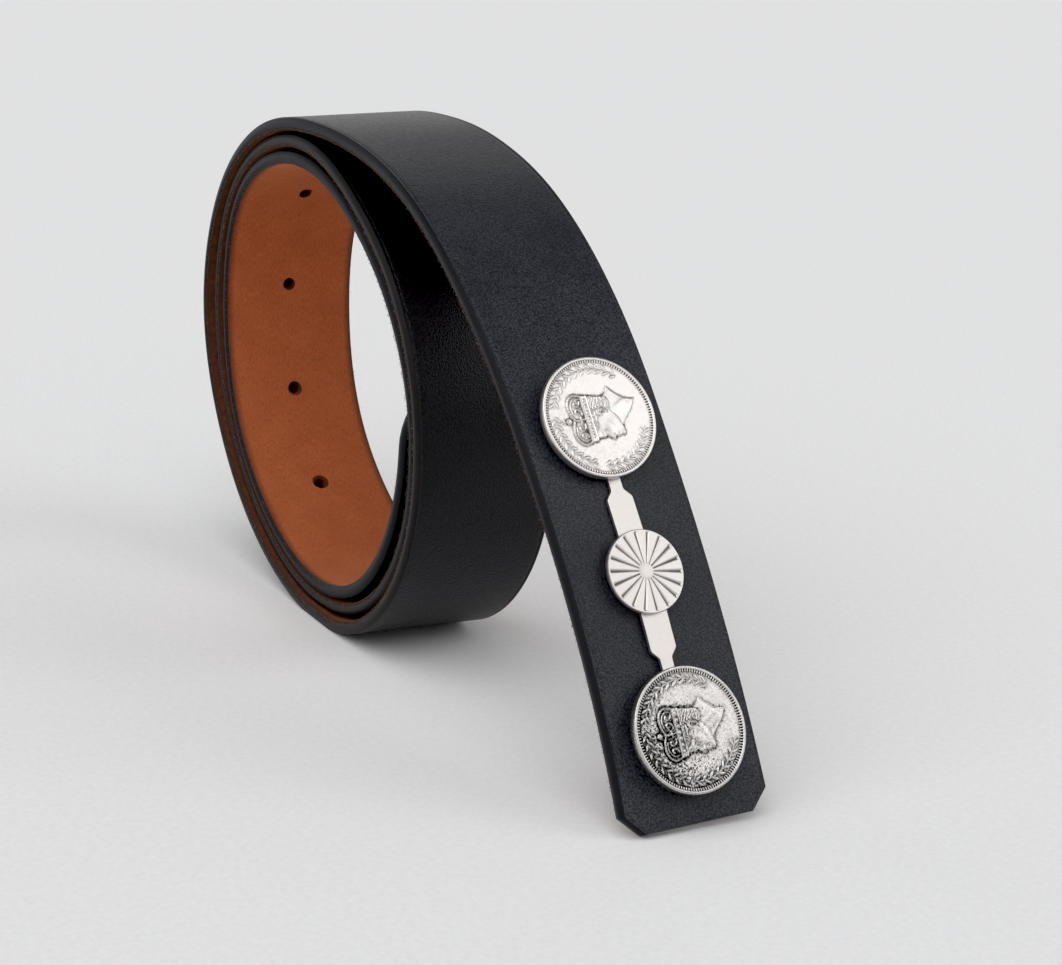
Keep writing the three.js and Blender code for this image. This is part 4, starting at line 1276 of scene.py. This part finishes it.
coin_bright = coin_metal(
    "nickel_alloy_struck_bright", bright="#e4e0dc", dull="#dad4d0", tarnish="#665d57",
    tarnish_from=0.045, tarnish_to=0.13, field_stain=0.1, stain_size=0.9, polish=0.3,
)
coin_tarnished = coin_metal(
    "nickel_alloy_struck_tarnished", bright="#e4e0dd", dull="#b8b4b0", tarnish="#0b0a0a",
    tarnish_from=0.026, tarnish_to=0.075, field_stain=0.95, stain_size=0.5, polish=0.24,
)
coin_face = coin_radius - coin_border
coins = (("upper", 1, coin_bright, "bright_nickel"), ("lower", -1, coin_tarnished, "tarnished_nickel"))
for side, end, look, slot in coins:
    name = f"coin_{side}_struck"
    coin = new_object(name, relief_disc(
        name, coin_grid, coin_face, coin_relief, coin_wall, coin_frame(end),
    ))
    coin.data.materials.append(look)
    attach(coin, "root")
    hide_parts(f"coin_{side}")

# Floor, light and camera
# A pale seamless sheet lies under the belt, lit softly from the far right, the right and the front.
# The camera looks along the free end from its near side, as the photograph does.
floor_size = 12.0
floor_mesh = bpy.data.meshes.new("floor")
half = floor_size / 2
floor_corners = [(-half, -half, 0), (half, -half, 0), (half, half, 0), (-half, half, 0)]
floor_mesh.from_pydata(floor_corners, [], [(0, 1, 2, 3)])
floor = new_object("floor", floor_mesh)
paper, tree = material("seamless_paper_matt")
place = add(tree, "TexCoord").outputs["Object"]
mottle = add(tree, "TexNoise", Vector=place, Scale=1 / (1.6 * mm), Detail=4.0, Roughness=0.7)
shade = add(tree, "Mix", {"data_type": "RGBA"}, i0=mottle, i6=linear("#e6e6e6"), i7=linear("#fcfcfc"))
shader = add(tree, "BsdfPrincipled", Base_Color=shade, Roughness=0.9)
finish_material(tree, shader)
floor.data.materials.append(paper)

# The room is pale behind the belt, as the backdrop is, darker on the camera's side and grey above
backdrop_side = (-0.88, 0.47, 0.0)
world = bpy.data.worlds.new("studio")
bpy.context.scene.world = world
world.use_nodes = True
room = world.node_tree
room.nodes.clear()
look_to = add(room, "TexCoord").outputs["Generated"]
rise = add(room, "SeparateXYZ", Vector=look_to)
high = add(room, "MapRange", Value=rise.outputs["Z"], From_Min=0.25, From_Max=0.6)
facing = add(room, "VectorMath", {"operation": "DOT_PRODUCT"}, i0=look_to, i1=backdrop_side)
behind = add(room, "MapRange", Value=facing, From_Min=-0.4, From_Max=0.3)
low = add(room, "Mix", {"data_type": "RGBA"}, i0=behind, i6=linear("#646466"), i7=linear("#fbfbfb"))
air = add(room, "Mix", {"data_type": "RGBA"}, i0=high, i6=low, i7=linear("#7a7b7e"))
surround = add(room, "Background", Color=air, Strength=1.0)
add(room, "OutputWorld", Surface=surround)

# Each light is broad and distant: the direction it comes from, its width in degrees and its strength
lamps = [
    {"name": "key", "from": (0.56, 0.60, 0.57), "wide": 40, "power": 0.54},
    {"name": "fill", "from": (0.27, -0.50, 0.82), "wide": 70, "power": 1.6},
    {"name": "side", "from": (0.90, -0.25, 0.45), "wide": 60, "power": 0.55},
]
for row in lamps:
    data = bpy.data.lights.new(row["name"], "SUN")
    data.angle = math.radians(row["wide"])
    data.energy = row["power"]
    lamp = new_object(row["name"], data)
    lamp.rotation_euler = Vector(row["from"]).to_track_quat("Z", "Y").to_euler()

# The photograph is 1062 pixels wide, and its lens sees 2742 pixels per unit of distance
photo_width = 1062
pixels_per_unit = 2742
camera_place = Vector((596.09, -293.81, 233.57)) * mm
camera_azimuth = 62.0
camera_elevation = 15.606
camera_roll = 2.82
azimuth = math.radians(camera_azimuth)
elevation = math.radians(camera_elevation)
level = math.cos(elevation)
forward = Vector((-math.sin(azimuth) * level, math.cos(azimuth) * level, -math.sin(elevation)))
level_right = forward.cross(Vector((0, 0, 1))).normalized()
level_up = level_right.cross(forward)
roll_turn = math.radians(camera_roll)
right = level_right * math.cos(roll_turn) + level_up * math.sin(roll_turn)
up = right.cross(forward)
camera_data = bpy.data.cameras.new("photo_camera")
camera_data.sensor_width = 36.0
camera_data.lens = camera_data.sensor_width * pixels_per_unit / photo_width
camera_data.clip_start = 0.02
camera_data.clip_end = 30.0
camera = new_object("photo_camera", camera_data)
turned = Matrix((right, up, -forward)).transposed().to_4x4()
turned.translation = camera_place
camera.matrix_world = turned
bpy.context.scene.camera = camera
# The photograph has its deepest shadows closed up
shadow_level = 0.008
view = bpy.context.scene.view_settings
view.view_transform = "Standard"
view.use_curve_mapping = True
view.curve_mapping.black_level = (shadow_level, shadow_level, shadow_level)
view.curve_mapping.update()
